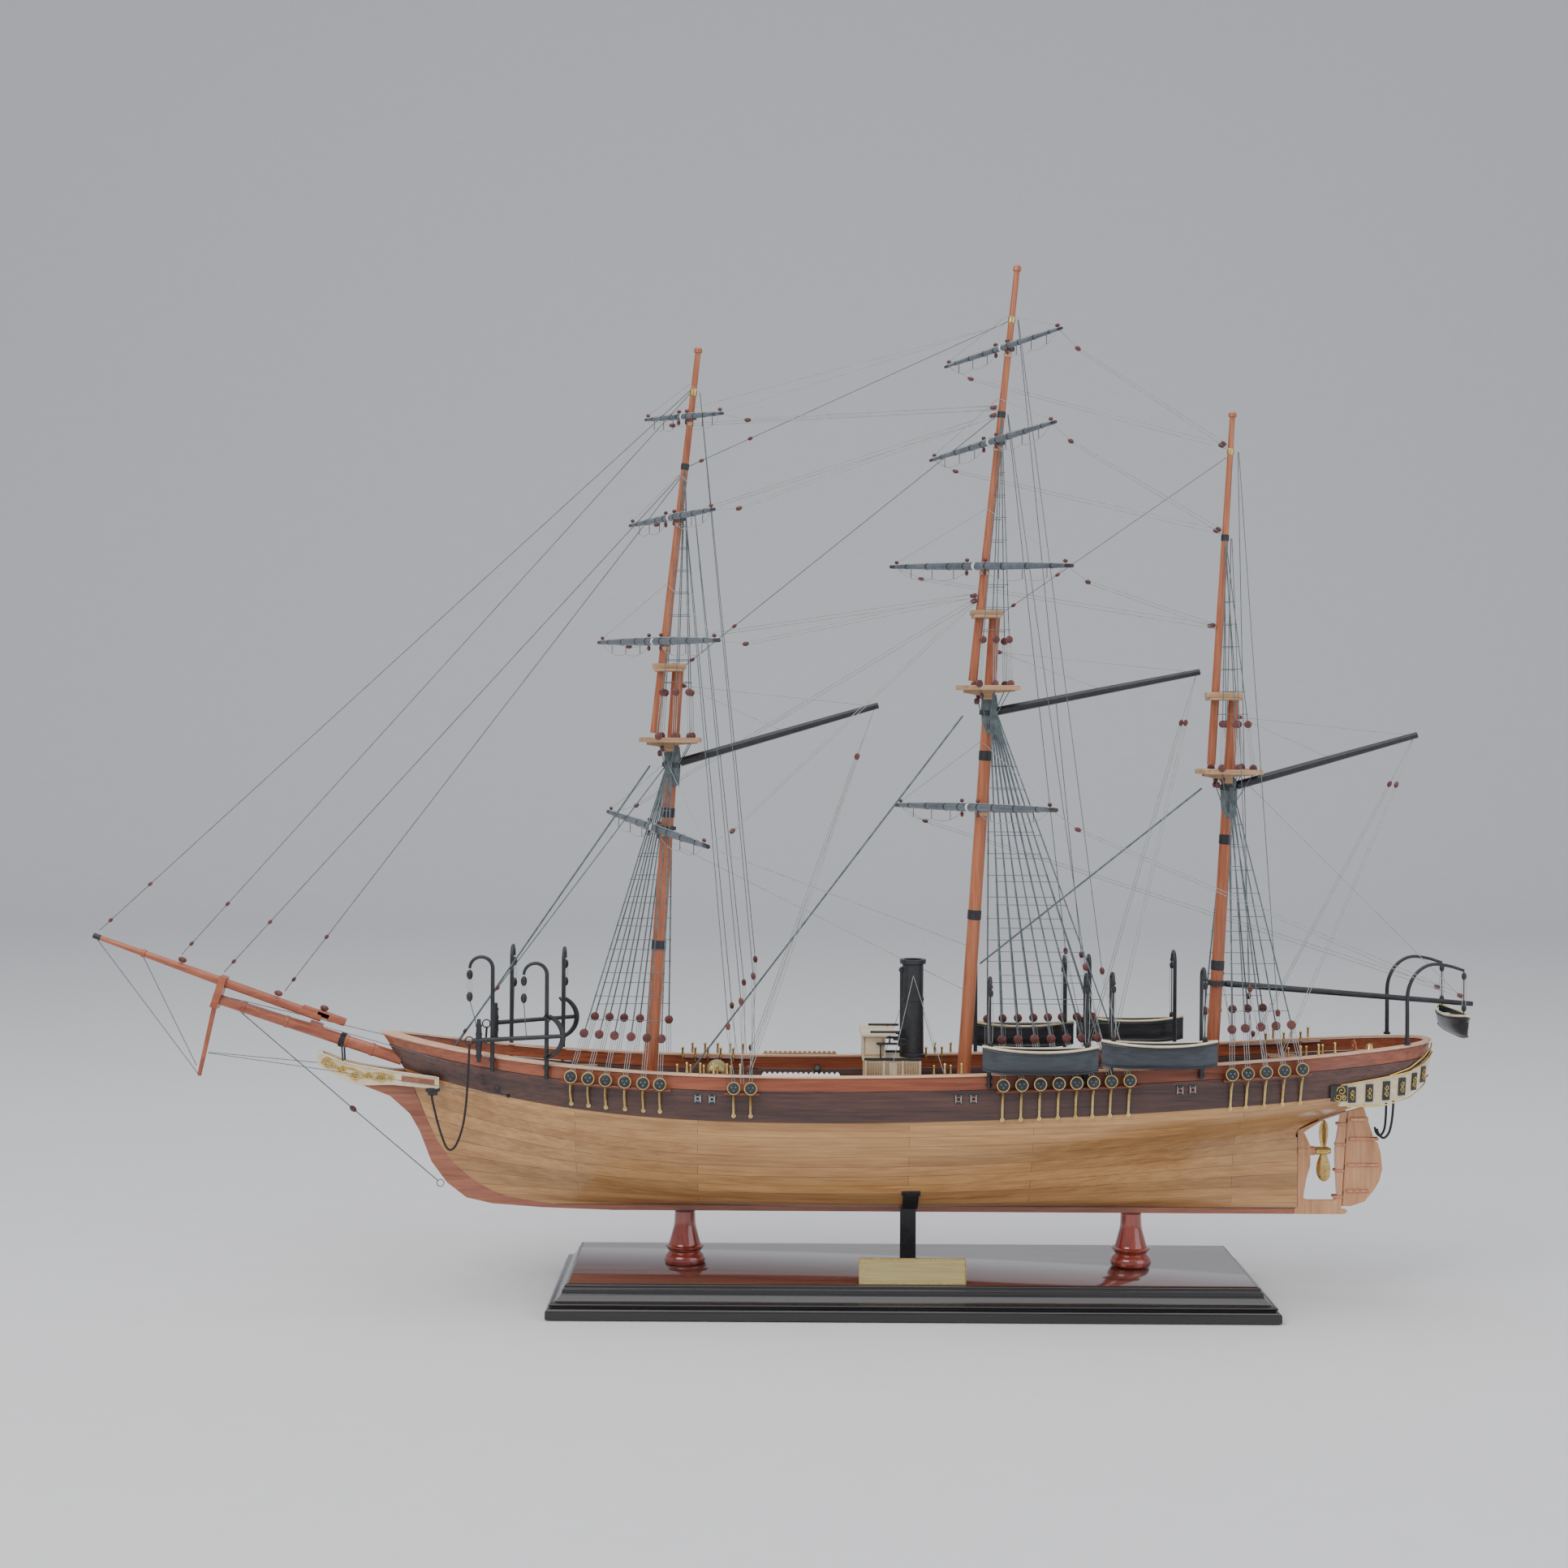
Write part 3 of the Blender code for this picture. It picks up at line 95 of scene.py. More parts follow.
def turned(profile, centres, axes, sides=16):
    """Turned shapes: each (distance, radius) of the profile gives a circle round the axis at that distance."""
    centres = np.atleast_2d(np.asarray(centres, float))
    axes = unit(np.broadcast_to(np.asarray(axes, float), centres.shape))
    upright = np.abs(axes[:, 2:]) > 0.9
    side = unit(np.cross(axes, np.where(upright, vec(1, 0, 0), Z)))
    lift = np.cross(axes, side)
    turn = (np.arange(sides) + 0.5) * 2.0 * np.pi / sides
    circle = np.cos(turn)[:, None] * side[:, None] + np.sin(turn)[:, None] * lift[:, None]
    distance, radius = np.asarray(profile, float).T
    return (centres[:, None, None] + distance[:, None, None] * axes[:, None, None]
            + radius[:, None, None] * circle[:, None])


def slab(centres, sizes, turn=0.0, rise=0.0, edge=0.35):
    """Blocks with eased edges: an eight-cornered ring at four heights, turned about z and then tipped about y."""
    centres = np.atleast_2d(np.asarray(centres, float))
    sizes = np.broadcast_to(np.asarray(sizes, float), centres.shape)
    half = sizes / 2.0
    ease = np.minimum(edge, half.min(axis=1) * 0.45)[:, None, None]
    corner = np.array([(1, 1), (1, 1), (-1, 1), (-1, 1), (-1, -1), (-1, -1), (1, -1), (1, -1)], float)
    cut = np.array([(0, 1), (1, 0), (1, 0), (0, 1), (0, 1), (1, 0), (1, 0), (0, 1)], float)
    ring = corner * (half[:, None, :2] - ease * cut)
    levels = np.array([(-1, 1), (-1, 0), (1, 0), (1, 1)], float)
    pulled = ring[:, None] - corner * ease[:, None] * levels[:, 1, None, None]
    height = levels[:, 0] * (half[:, 2:] - ease[:, :, 0] * (1 - levels[:, 1]))
    local = np.concatenate([pulled, np.broadcast_to(height[:, :, None, None], pulled.shape[:3] + (1,))], axis=3)
    return moved(local, centres, turn, rise)


def moved(local, centres, turn=0.0, rise=0.0):
    """Grids tipped about y by rise, turned about z by turn (radians) and set at their centres."""
    centres = np.atleast_2d(centres)
    turn, rise = (np.broadcast_to(np.asarray(v, float), len(centres))[:, None, None] for v in (turn, rise))
    x, y, z = np.moveaxis(local, -1, 0)
    x, z = x * np.cos(rise) - z * np.sin(rise), x * np.sin(rise) + z * np.cos(rise)
    x, y = x * np.cos(turn) - y * np.sin(turn), x * np.sin(turn) + y * np.cos(turn)
    return np.stack([x, y, z], axis=-1) + centres[:, None, None]


def smooth(points, count):
    """A Catmull-Rom curve through the points, sampled evenly in its parameter."""
    points = np.asarray(points, float)
    padded = np.concatenate([[2 * points[0] - points[1]], points, [2 * points[-1] - points[-2]]])
    place = np.linspace(0.0, len(points) - 1.0, count)
    first = np.minimum(place.astype(int), len(points) - 2)
    t = (place - first).reshape((-1,) + (1,) * (points.ndim - 1))
    a, b, c, d = (padded[first + i] for i in range(4))
    return 0.5 * (2 * b + (c - a) * t + (2 * a - 5 * b + 4 * c - d) * t ** 2 + (3 * b - a - 3 * c + d) * t ** 3)


def sagging(starts, ends, count=2, sag=0.0):
    """Lines from start to end that hang below the straight by sag * 4 s (1 - s), s being the share along."""
    starts, ends = np.atleast_2d(starts), np.atleast_2d(ends)
    share = np.linspace(0.0, 1.0, count)
    line = mix(starts[:, None], ends[:, None], share[:, None])
    droop = np.asarray(sag, float).reshape(-1, 1) * 4.0 * share * (1.0 - share)
    return line - droop[..., None] * Z


class Piece:
    """One object: grids of points gathered into a mesh, each with its finish."""

    def __init__(self, name):
        self.name = name
        self.points = []
        self.faces = []
        self.finishes = []
        self.where = []
        self.maps = []
        self.total = 0

    def add(self, grid, finish, looped=False, uv=None):
        """Grids of rings of points. Rings close on themselves; the row of rings is capped, or runs in a loop."""
        grid = grid[None] if grid.ndim == 3 else grid
        count, rows, columns = grid.shape[:3]
        index = np.arange(count * rows * columns).reshape(count, rows, columns) + self.total
        ahead = np.roll(index, -1, axis=1) if looped else index[:, 1:]
        here = index if looped else index[:, :-1]
        quads = np.stack([here, np.roll(here, -1, axis=2), np.roll(ahead, -1, axis=2), ahead], axis=-1)
        faces = quads.reshape(-1, 4).tolist()
        if not looped:
            faces += index[:, 0, ::-1].tolist() + index[:, -1].tolist()
        if finish not in self.finishes:
            self.finishes.append(finish)
        self.faces += faces
        self.where += [self.finishes.index(finish)] * len(faces)
        self.points.append(grid.reshape(-1, 3))
        self.maps.append(np.zeros((len(self.points[-1]), 2)) if uv is None else uv.reshape(-1, 2))
        self.total += len(self.points[-1])
        return self

    def make(self, slot, body="ship", replaces=(), sharp=38.0):
        """The mesh itself, riding on its body, in place of the nodes that it stands for."""
        mesh = bpy.data.meshes.new(self.name)
        place = (np.concatenate(self.points) - ORIGIN) * MM
        mesh.from_pydata(place.tolist(), [], self.faces)
        mesh.polygons.foreach_set("material_index", self.where)
        work = bmesh.new()
        work.from_mesh(mesh)
        bmesh.ops.recalc_face_normals(work, faces=work.faces)
        work.to_mesh(mesh)
        work.free()
        mesh.shade_smooth()
        mesh.set_sharp_from_angle(angle=math.radians(sharp))
        corner = np.zeros(len(mesh.loops), int)
        mesh.loops.foreach_get("vertex_index", corner)
        layer = mesh.uv_layers.new(name="planks")
        layer.data.foreach_set("uv", np.concatenate(self.maps)[corner].ravel())
        for name in self.finishes:
            mesh.materials.append(finish(name))
        item = bpy.data.objects.new(self.name, mesh)
        bpy.context.scene.collection.objects.link(item)
        if replaces:
            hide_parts(*replaces)
        if isinstance(body, str):
            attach(item, body)
        else:
            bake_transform(item)
        return item


# Finishes: dark colour, light colour, stretch of the grain along x, y and z, grain per metre, roughness,
# metallic, coat, bump in millimetres
WOODS = {
    "honey": ((0.42, 0.20, 0.065), (0.66, 0.37, 0.15), (0.06, 1, 1), 420, 0.34, 0, 0.35, 0.04),
    "wale": ((0.045, 0.02, 0.018), (0.14, 0.06, 0.045), (0.05, 1, 1), 600, 0.4, 0, 0.25, 0.05),
    "strake": ((0.20, 0.045, 0.022), (0.45, 0.13, 0.06), (0.05, 1, 1), 520, 0.36, 0, 0.3, 0.05),
    "rail": ((0.50, 0.26, 0.15), (0.72, 0.46, 0.30), (0.06, 1, 1), 500, 0.4, 0, 0.2, 0.04),
    "bulwark": ((0.03, 0.012, 0.012), (0.085, 0.04, 0.035), (0.05, 1, 1), 600, 0.45, 0, 0.1, 0.05),
    "deck": ((0.16, 0.085, 0.04), (0.33, 0.19, 0.10), (0.05, 1, 1), 700, 0.55, 0, 0, 0.05),
    "keel": ((0.20, 0.055, 0.03), (0.40, 0.15, 0.085), (0.07, 1, 1), 500, 0.38, 0, 0.25, 0.05),
    "rudder": ((0.45, 0.20, 0.085), (0.68, 0.36, 0.18), (1, 1, 0.07), 520, 0.38, 0, 0.3, 0.04),
    "mast": ((0.26, 0.065, 0.025), (0.50, 0.17, 0.075), (1, 1, 0.06), 520, 0.4, 0, 0.2, 0.05),
    "bowsprit": ((0.24, 0.05, 0.022), (0.46, 0.14, 0.065), (0.07, 1, 0.35), 520, 0.38, 0, 0.25, 0.05),
    "tan": ((0.30, 0.17, 0.085), (0.55, 0.36, 0.21), (0.1, 1, 1), 600, 0.5, 0, 0.1, 0.05),
    "rosewood": ((0.045, 0.014, 0.012), (0.15, 0.055, 0.045), (0.05, 1, 1), 160, 0.07, 0, 1.0, 0.0),
    "moulding": ((0.006, 0.006, 0.007), (0.016, 0.015, 0.016), (0.06, 1, 1), 300, 0.26, 0, 0.5, 0.02),
    "mahogany": ((0.13, 0.012, 0.008), (0.34, 0.05, 0.028), (1, 1, 0.12), 260, 0.12, 0, 1.0, 0.0),
    "cream": ((0.62, 0.50, 0.32), (0.82, 0.72, 0.52), (0.4, 1, 1), 350, 0.45, 0, 0.1, 0.03),
    "slate": ((0.055, 0.07, 0.09), (0.13, 0.16, 0.19), (0.6, 0.6, 1), 380, 0.42, 0, 0.15, 0.05),
    "black": ((0.008, 0.009, 0.011), (0.024, 0.027, 0.032), (1, 1, 1), 420, 0.42, 0, 0.15, 0.05),
    "boat": ((0.012, 0.016, 0.022), (0.045, 0.055, 0.07), (0.1, 1, 1), 420, 0.4, 0, 0.2, 0.04),
    "red": ((0.26, 0.05, 0.035), (0.46, 0.13, 0.09), (0.2, 1, 1), 420, 0.45, 0, 0.1, 0.03),
    "block": ((0.05, 0.012, 0.012), (0.17, 0.045, 0.04), (1, 1, 1), 700, 0.45, 0, 0.1, 0.05),
    "band": ((0.012, 0.014, 0.016), (0.035, 0.04, 0.045), (1, 1, 1), 700, 0.5, 0, 0, 0.04),
    "shroud": ((0.055, 0.075, 0.085), (0.16, 0.20, 0.21), (1, 1, 1), 1800, 0.8, 0, 0, 0.03),
    "thread": ((0.22, 0.25, 0.25), (0.42, 0.45, 0.44), (1, 1, 1), 1800, 0.8, 0, 0, 0.03),
    "cable": ((0.006, 0.006, 0.007), (0.02, 0.02, 0.022), (1, 1, 1), 1500, 0.55, 0, 0, 0.06),
    "white": ((0.68, 0.66, 0.60), (0.86, 0.85, 0.80), (1, 1, 1), 600, 0.5, 0, 0, 0.03),
    "glass": ((0.01, 0.012, 0.015), (0.03, 0.035, 0.04), (1, 1, 1), 200, 0.08, 0, 0.6, 0.0),
    "brass": ((0.50, 0.33, 0.10), (0.78, 0.60, 0.26), (1, 1, 1), 500, 0.28, 1, 0, 0.03),
    "plate": ((0.50, 0.40, 0.17), (0.66, 0.55, 0.27), (0.04, 1, 1), 900, 0.34, 1, 0, 0.02),
    "gold": ((0.55, 0.36, 0.08), (0.86, 0.64, 0.22), (1, 1, 1), 600, 0.32, 1, 0, 0.03),
    "copper": ((0.48, 0.20, 0.13), (0.70, 0.36, 0.25), (1, 1, 1), 600, 0.35, 1, 0, 0.03),
}
# Planked finishes: coordinates, plank width in millimetres, plank length in widths, seam width in widths
PLANKS = {
    "honey": ("UV", 1.0, 26.0, 0.022),
    "wale": ("UV", 1.0, 40.0, 0.02),
    "strake": ("UV", 1.0, 60.0, 0.015),
    "deck": ("Object", 3.6, 30.0, 0.05),
}


def node(tree, kind, **sockets):
    made = tree.nodes.new("ShaderNode" + kind)
    for key, value in sockets.items():
        name = key.replace("_", " ")
        if name in made.inputs:
            made.inputs[name].default_value = value
        else:
            setattr(made, key, value)
    return made


def finish(name):
    """A finish by its name: stretched noise mixes the two colours, and stirs the roughness and the bump."""
    found = bpy.data.materials.get(name)
    if found:
        return found
    dark, light, stretch, grain, rough, metallic, coat, bump = WOODS[name]
    material = bpy.data.materials.new(name)
    material.use_nodes = True
    material.diffuse_color = (*light, 1.0)
    tree = material.node_tree
    shader = tree.nodes["Principled BSDF"]
    shader.inputs["Metallic"].default_value = metallic
    shader.inputs["Coat Weight"].default_value = coat
    shader.inputs["Coat Roughness"].default_value = 0.12
    link = tree.links.new
    place = node(tree, "TexCoord")
    scale = node(tree, "Mapping")
    scale.inputs["Scale"].default_value = [grain * s for s in stretch]
    link(place.outputs["Object"], scale.inputs["Vector"])
    fine = node(tree, "TexNoise", Scale=1.0, Detail=5.0, Roughness=0.6, Distortion=0.4)
    link(scale.outputs["Vector"], fine.inputs["Vector"])
    broad = node(tree, "TexNoise", Scale=0.13, Detail=2.0)
    link(scale.outputs["Vector"], broad.inputs["Vector"])
    blend = node(tree, "Math", operation="MULTIPLY_ADD")
    blend.inputs[1].default_value = 0.45
    link(broad.outputs["Fac"], blend.inputs[0])
    half = node(tree, "Math", operation="MULTIPLY")
    half.inputs[1].default_value = 0.55
    link(fine.outputs["Fac"], half.inputs[0])
    link(half.outputs["Value"], blend.inputs[2])
    ramp = node(tree, "ValToRGB")
    ramp.color_ramp.elements[0].position = 0.36
    ramp.color_ramp.elements[0].color = (*dark, 1.0)
    ramp.color_ramp.elements[1].position = 0.62
    ramp.color_ramp.elements[1].color = (*light, 1.0)
    link(blend.outputs["Value"], ramp.inputs["Fac"])
    colour = ramp.outputs["Color"]
    height = blend.outputs["Value"]
    if name in PLANKS:
        colour, height = planked(tree, name, place, colour, height)
    link(colour, shader.inputs["Base Color"])
    gloss = node(tree, "MapRange")
    gloss.inputs["To Min"].default_value = max(rough - 0.06, 0.02)
    gloss.inputs["To Max"].default_value = rough + 0.08
    link(fine.outputs["Fac"], gloss.inputs["Value"])
    link(gloss.outputs["Result"], shader.inputs["Roughness"])
    if bump:
        relief = node(tree, "Bump", Strength=0.5, Distance=bump * MM)
        link(height, relief.inputs["Height"])
        link(relief.outputs["Normal"], shader.inputs["Normal"])
    return material


def planked(tree, name, place, colour, height):
    """Dark seams between planks, and each plank a little lighter or darker than its neighbours."""
    kind, width, length, seam = PLANKS[name]
    link = tree.links.new
    scale = node(tree, "Mapping")
    scale.inputs["Scale"].default_value = [1.0 if kind == "UV" else 1.0 / (width * MM)] * 3
    link(place.outputs[kind], scale.inputs["Vector"])
    brick = node(tree, "TexBrick", Scale=1.0, Mortar_Size=seam, Mortar_Smooth=0.3, Brick_Width=length,
                 Row_Height=1.0, Color1=(0.62, 0.62, 0.62, 1), Color2=(1, 1, 1, 1), Mortar=(0.16, 0.13, 0.11, 1))
    brick.offset = 0.37
    link(scale.outputs["Vector"], brick.inputs["Vector"])
    tone = node(tree, "Mix", data_type="RGBA", blend_type="MULTIPLY")
    tone.inputs["Factor"].default_value = 0.75
    link(colour, tone.inputs["A"])
    link(brick.outputs["Color"], tone.inputs["B"])
    sunk = node(tree, "Math", operation="SUBTRACT")
    link(height, sunk.inputs[0])
    link(brick.outputs["Fac"], sunk.inputs[1])
    return tone.outputs["Result"], sunk.outputs["Value"]


def dress(finish_name, *nodes):
    """The CAD nodes themselves, in one finish."""
    for name in nodes:
        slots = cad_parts[name].data.materials
        slots.clear()
        slots.append(finish(finish_name))


class SheerLine:
    """A line that runs along the hull, its height and half breadth given by powers of the share towards either end."""

    LOW_X = 60.0
    FULLEST = 0.55

    def __init__(self, height, half, bow, stern, bow_half=2.2, stern_half=0.4, entrance=(2.6, 0.78), run=(4.5, 0.46)):
        self.height, self.half, self.bow, self.stern = height, half, bow, stern
        self.bow_half, self.stern_half, self.entrance, self.run = bow_half, stern_half, entrance, run

    def shifted(self, out, up=0.0, bow_shift=None, bow_half=None):
        ahead = out if bow_shift is None else bow_shift
        return SheerLine(self.height + up, self.half + out, (self.bow[0] + ahead, self.bow[1] + up),
                         (self.stern[0] - out, self.stern[1] + up), bow_half or self.bow_half, self.stern_half,
                         self.entrance, self.run)

    def z(self, x):
        ahead = np.clip((x - self.LOW_X) / (self.bow[0] - self.LOW_X), 0.0, None)
        back = np.clip((self.LOW_X - x) / (self.LOW_X - self.stern[0]), 0.0, None)
        return self.height + (self.bow[1] - self.height) * ahead ** 2.5 + (self.stern[1] - self.height) * back ** 1.75

    def y(self, x):
        share = np.clip((x - self.stern[0]) / (self.bow[0] - self.stern[0]), 0.0, 1.0)
        rest = np.where(share > self.FULLEST, (1.0 - share) / (1.0 - self.FULLEST), share / self.FULLEST)
        power, hollow = (np.where(share > self.FULLEST, a, b) for a, b in zip(self.entrance, self.run))
        full = (1.0 - (1.0 - np.clip(rest, 0.0, 1.0)) ** power) ** hollow
        return mix(np.where(share > self.FULLEST, self.bow_half, self.stern_half), self.half, full)

    def at(self, x, side=1, out=0.0, up=0.0):
        x = np.asarray(x, float)
        return np.stack([x, side * (self.y(x) + out), self.z(x) + up], axis=-1)

    def along(self, stations):
        """Points from the stern to the bow, closer together at both ends."""
        share = 0.5 - 0.5 * np.cos(np.linspace(0.0, np.pi, stations))
        return self.at(mix(self.stern[0], self.bow[0], share))


# Levels of the planked bottom: height share, bow x and z, stern x and z, hollow of the entrance and run
BOTTOM_LEVELS = (
    (0.00, 215.0, 57.5, -241.0, 57.8, 1.90, 2.60), (0.05, 238.0, 60.8, -241.0, 62.0, 1.80, 2.40),
    (0.12, 256.0, 66.7, -241.0, 69.0, 1.65, 2.20), (0.22, 271.8, 77.3, -241.0, 78.0, 1.50, 2.00),
    (0.34, 283.9, 90.6, -241.0, 88.0, 1.35, 1.80), (0.48, 292.0, 105.0, -241.0, 97.0, 1.20, 1.55),
    (0.62, 298.0, 119.0, -241.0, 105.5, 1.08, 1.25), (0.76, 302.5, 129.5, -258.0, 113.4, 0.98, 0.95),
    (0.88, 305.5, 135.5, -284.0, 122.2, 0.90, 0.70), (0.95, 307.0, 138.3, -302.0, 128.3, 0.87, 0.58),
    (1.00, 308.5, 140.5, -317.0, 136.5, 0.85, 0.50),
)
WALE_LOW = SheerLine(116.0, 48.7, (308.7, 140.9), (-317.6, 136.9), entrance=(2.6, 0.85), run=(4.5, 0.5))
WALE_HIGH = SheerLine(134.0, 48.9, (317.5, 155.0), (-321.0, 153.2))
STRAKE_HIGH = SheerLine(141.7, 47.6, (321.2, 161.1), (-321.4, 160.9))
RAIL_TOP = SheerLine(143.4, 47.4, (322.2, 162.8), (-321.6, 162.6))
DECK = RAIL_TOP.shifted(0.0, -13.8)
BULWARK = 2.6


def bottom_line(row):
    share, bow_x, bow_z, stern_x, stern_z, entrance, run = row
    half = mix(2.2, 48.0, (1.0 - (1.0 - share) ** 2.4) ** 0.48)
    return SheerLine(mix(57.5, 115.7, share), half, (bow_x, bow_z), (stern_x, stern_z), 2.2,
                     2.2 if stern_x > -242.0 else 0.4, (2.0 + 0.6 * share, entrance), (2.0 + 2.5 * share ** 2, run))


# Masts: foot x, head of the lower mast, height of its top and cap, heel and truck of the topmast as (x, z), radii
MASTS = {
    "fore": (157.7, (141.2, 390.0), 342.7, 389.9, (155.6, 347.0), (129.9, 584.6), 4.4, 2.8),
    "main": (-35.3, (-53.6, 423.8), 375.8, 423.8, (-40.0, 380.2), (-66.1, 636.3), 4.2, 2.8),
    "mizzen": (-188.0, (-201.0, 374.2), 325.2, 374.1, (-187.0, 329.6), (-199.1, 546.7), 4.0, 2.6),
}
# Yards: mast, part of it, height, length, diameter, swing and tilt in degrees
YARDS = {
    "fore_course": ("fore", "lower", 288.8, 240.0, 5.2, 17.9, -2.6),
    "fore_topsail": ("fore", "topmast", 403.3, 210.0, 4.8, 23.6, -1.3),
    "fore_topgallant": ("fore", "topmast", 479.3, 160.0, 4.0, 21.6, -0.9),
    "fore_royal": ("fore", "topmast", 541.5, 120.0, 3.4, 25.8, -4.6),
    "main_course": ("main", "lower", 302.5, 240.0, 5.2, 19.5, 1.3),
    "main_topsail": ("main", "topmast", 450.6, 210.0, 4.8, 27.2, -3.0),
    "main_topgallant": ("main", "topmast", 527.0, 160.0, 4.0, 23.6, 2.4),
    "main_royal": ("main", "topmast", 584.7, 120.0, 3.4, 31.3, 3.9),
}
# Gaffs and boom: mast, height of the jaws, end as (x, z), radii at the jaws and at the end
GAFFS = {
    "fore_gaff": ("fore", 327.6, (18.0, 364.9), 2.7, 1.9),
    "main_gaff": ("main", 360.6, (-179.7, 386.6), 2.7, 1.9),
    "mizzen_gaff": ("mizzen", 315.4, (-313.7, 348.6), 2.7, 1.9),
    "spanker_boom": ("mizzen", 195.3, (-348.7, 183.3), 2.0, 1.5),
}
# Channels: front and back x, and the x of each deadeye
CHANNELS = {
    "fore": (209.0, 142.0, (202.0, 191.5, 181.0, 169.5, 158.5, 148.5)),
    "main": (-51.0, -136.0, (-55.0, -66.0, -77.0, -88.0, -98.5, -108.5, -119.0, -130.0)),
    "mizzen": (-186.0, -239.5, (-191.0, -200.5, -211.5, -222.5, -233.5)),
}
CHANNEL_LINE = WALE_HIGH.shifted(0.6, -1.2)
CHANNEL_WIDTH = 7.0


def mast_ends(mast, part="lower"):
    foot_x, head, top, cap, heel, truck, lower, upper = MASTS[mast]
    if part == "lower":
        return vec(foot_x, 0, float(DECK.z(foot_x)) + 0.7), vec(head[0], 0, head[1])
    return vec(heel[0], 0, heel[1]), vec(truck[0], 0, truck[1])


def mast_at(mast, part, z):
    foot, head = mast_ends(mast, part)
    return mix(foot, head, (z - foot[2]) / (head[2] - foot[2]))


def mast_radius(mast, part, z):
    foot, head = mast_ends(mast, part)
    share = (z - foot[2]) / (head[2] - foot[2])
    return MASTS[mast][6] * mix(1.0, 0.82, share) if part == "lower" else MASTS[mast][7] * mix(1.0, 0.62, share ** 1.5)


def part_at(mast, z):
    """The part of the mast that stands alone at this height."""
    return "lower" if z < MASTS[mast][2] else "topmast"


def yard_frame(name):
    """A yard's middle, and its directions forward, to port along it, and up."""
    mast, part, height, length, diameter, swing, tilt = YARDS[name]
    turn, tip = math.radians(swing), math.radians(tilt)
    forward = vec(math.cos(turn), math.sin(turn), 0)
    port = vec(-math.sin(turn) * math.cos(tip), math.cos(turn) * math.cos(tip), math.sin(tip))
    middle = mast_at(mast, part, height) + (mast_radius(mast, part, height) + diameter / 2 + 1.6) * forward
    return middle, forward, port, np.cross(forward, port)


def on_yard(name, share, up=0.0, ahead=0.0):
    """A point on a yard: share runs from -1 at the starboard end to 1 at the port end."""
    middle, forward, port, rise = yard_frame(name)
    share = np.asarray(share, float)[..., None]
    return middle + share * YARDS[name][3] / 2 * port + up * rise + ahead * forward


def yard_radius(name, share):
    wide = np.interp(np.abs(share), (0.0, 0.5, 0.84, 1.0), (0.5, 0.42, 0.29, 0.22))
    return wide * YARDS[name][4]


def on_gaff(name, share):
    mast, height, end, root, tip = GAFFS[name]
    start = mast_at(mast, "lower", height)
    return mix(start, vec(end[0], 0, end[1]), np.asarray(share, float)[..., None])


def make_stage(settings):
    """A camera where the picture was taken from, three soft lights and a pale floor that curves up into a backdrop."""
    camera = bpy.data.objects.new("camera", bpy.data.cameras.new("camera"))
    camera.data.lens = settings.lens
    camera.data.sensor_width = 36.0
    camera.data.shift_y = settings.shift
    camera.data.clip_start = 0.05
    camera.location = (0.078, 1.45, 0.3514)
    camera.rotation_euler = (math.radians(90.0), math.radians(settings.roll), math.radians(180.0))
    bpy.context.scene.collection.objects.link(camera)
    bpy.context.scene.camera = camera
    # Lamps: place, size, power and colour, each turned towards the model's middle
    lamps = (
        ("key_light", (1.1, 1.5, 1.7), 1.3, settings.key, (1.0, 0.97, 0.93)),
        ("fill_light", (-1.6, 1.2, 0.9), 1.6, settings.fill, (0.93, 0.96, 1.0)),
        ("top_light", (0.0, 0.1, 2.1), 1.8, settings.top, (1.0, 1.0, 1.0)),
    )
    for name, place, size, power, colour in lamps:
        lamp = bpy.data.objects.new(name, bpy.data.lights.new(name, "AREA"))
        lamp.data.size = size
        lamp.data.energy = power
        lamp.data.color = colour
        lamp.location = place
        aim = Vector((0.0, 0.0, 0.25)) - Vector(place)
        lamp.rotation_euler = aim.to_track_quat("-Z", "Y").to_euler()
        bpy.context.scene.collection.objects.link(lamp)
    world = bpy.data.worlds.new("studio")
    world.use_nodes = True
    world.node_tree.nodes["Background"].inputs["Color"].default_value = (0.92, 0.94, 1.0, 1.0)
    world.node_tree.nodes["Background"].inputs["Strength"].default_value = settings.ambient
    bpy.context.scene.world = world
    # The floor runs level, then rises in a quarter circle into a wall, as one grid of two parameters.
    across = np.linspace(-6.0, 6.0, 25)
    depth, bend = 2.6, 1.2
    level = [(y, 0.0) for y in np.linspace(3.5, -depth, 20)]
    turn = np.linspace(0.0, math.pi / 2, 16)[1:]
    level += [(-depth - bend * math.sin(a), bend - bend * math.cos(a)) for a in turn]
    level += [(-depth - bend, z) for z in np.linspace(bend, 5.0, 8)[1:]]
    rows = np.array(level)
    grid = np.stack([np.broadcast_to(across, (len(rows), len(across))),
                     np.broadcast_to(rows[:, :1], (len(rows), len(across))),
                     np.broadcast_to(rows[:, 1:], (len(rows), len(across))) - 0.0005], axis=-1)
    index = np.arange(grid[..., 0].size).reshape(grid.shape[:2])
    quads = np.stack([index[:-1, :-1], index[:-1, 1:], index[1:, 1:], index[1:, :-1]], axis=-1).reshape(-1, 4)
    mesh = bpy.data.meshes.new("floor")
    mesh.from_pydata(grid.reshape(-1, 3).tolist(), [], quads[:, ::-1].tolist())
    mesh.shade_smooth()
    mesh.materials.append(paper())
    floor = bpy.data.objects.new("floor", mesh)
    bpy.context.scene.collection.objects.link(floor)


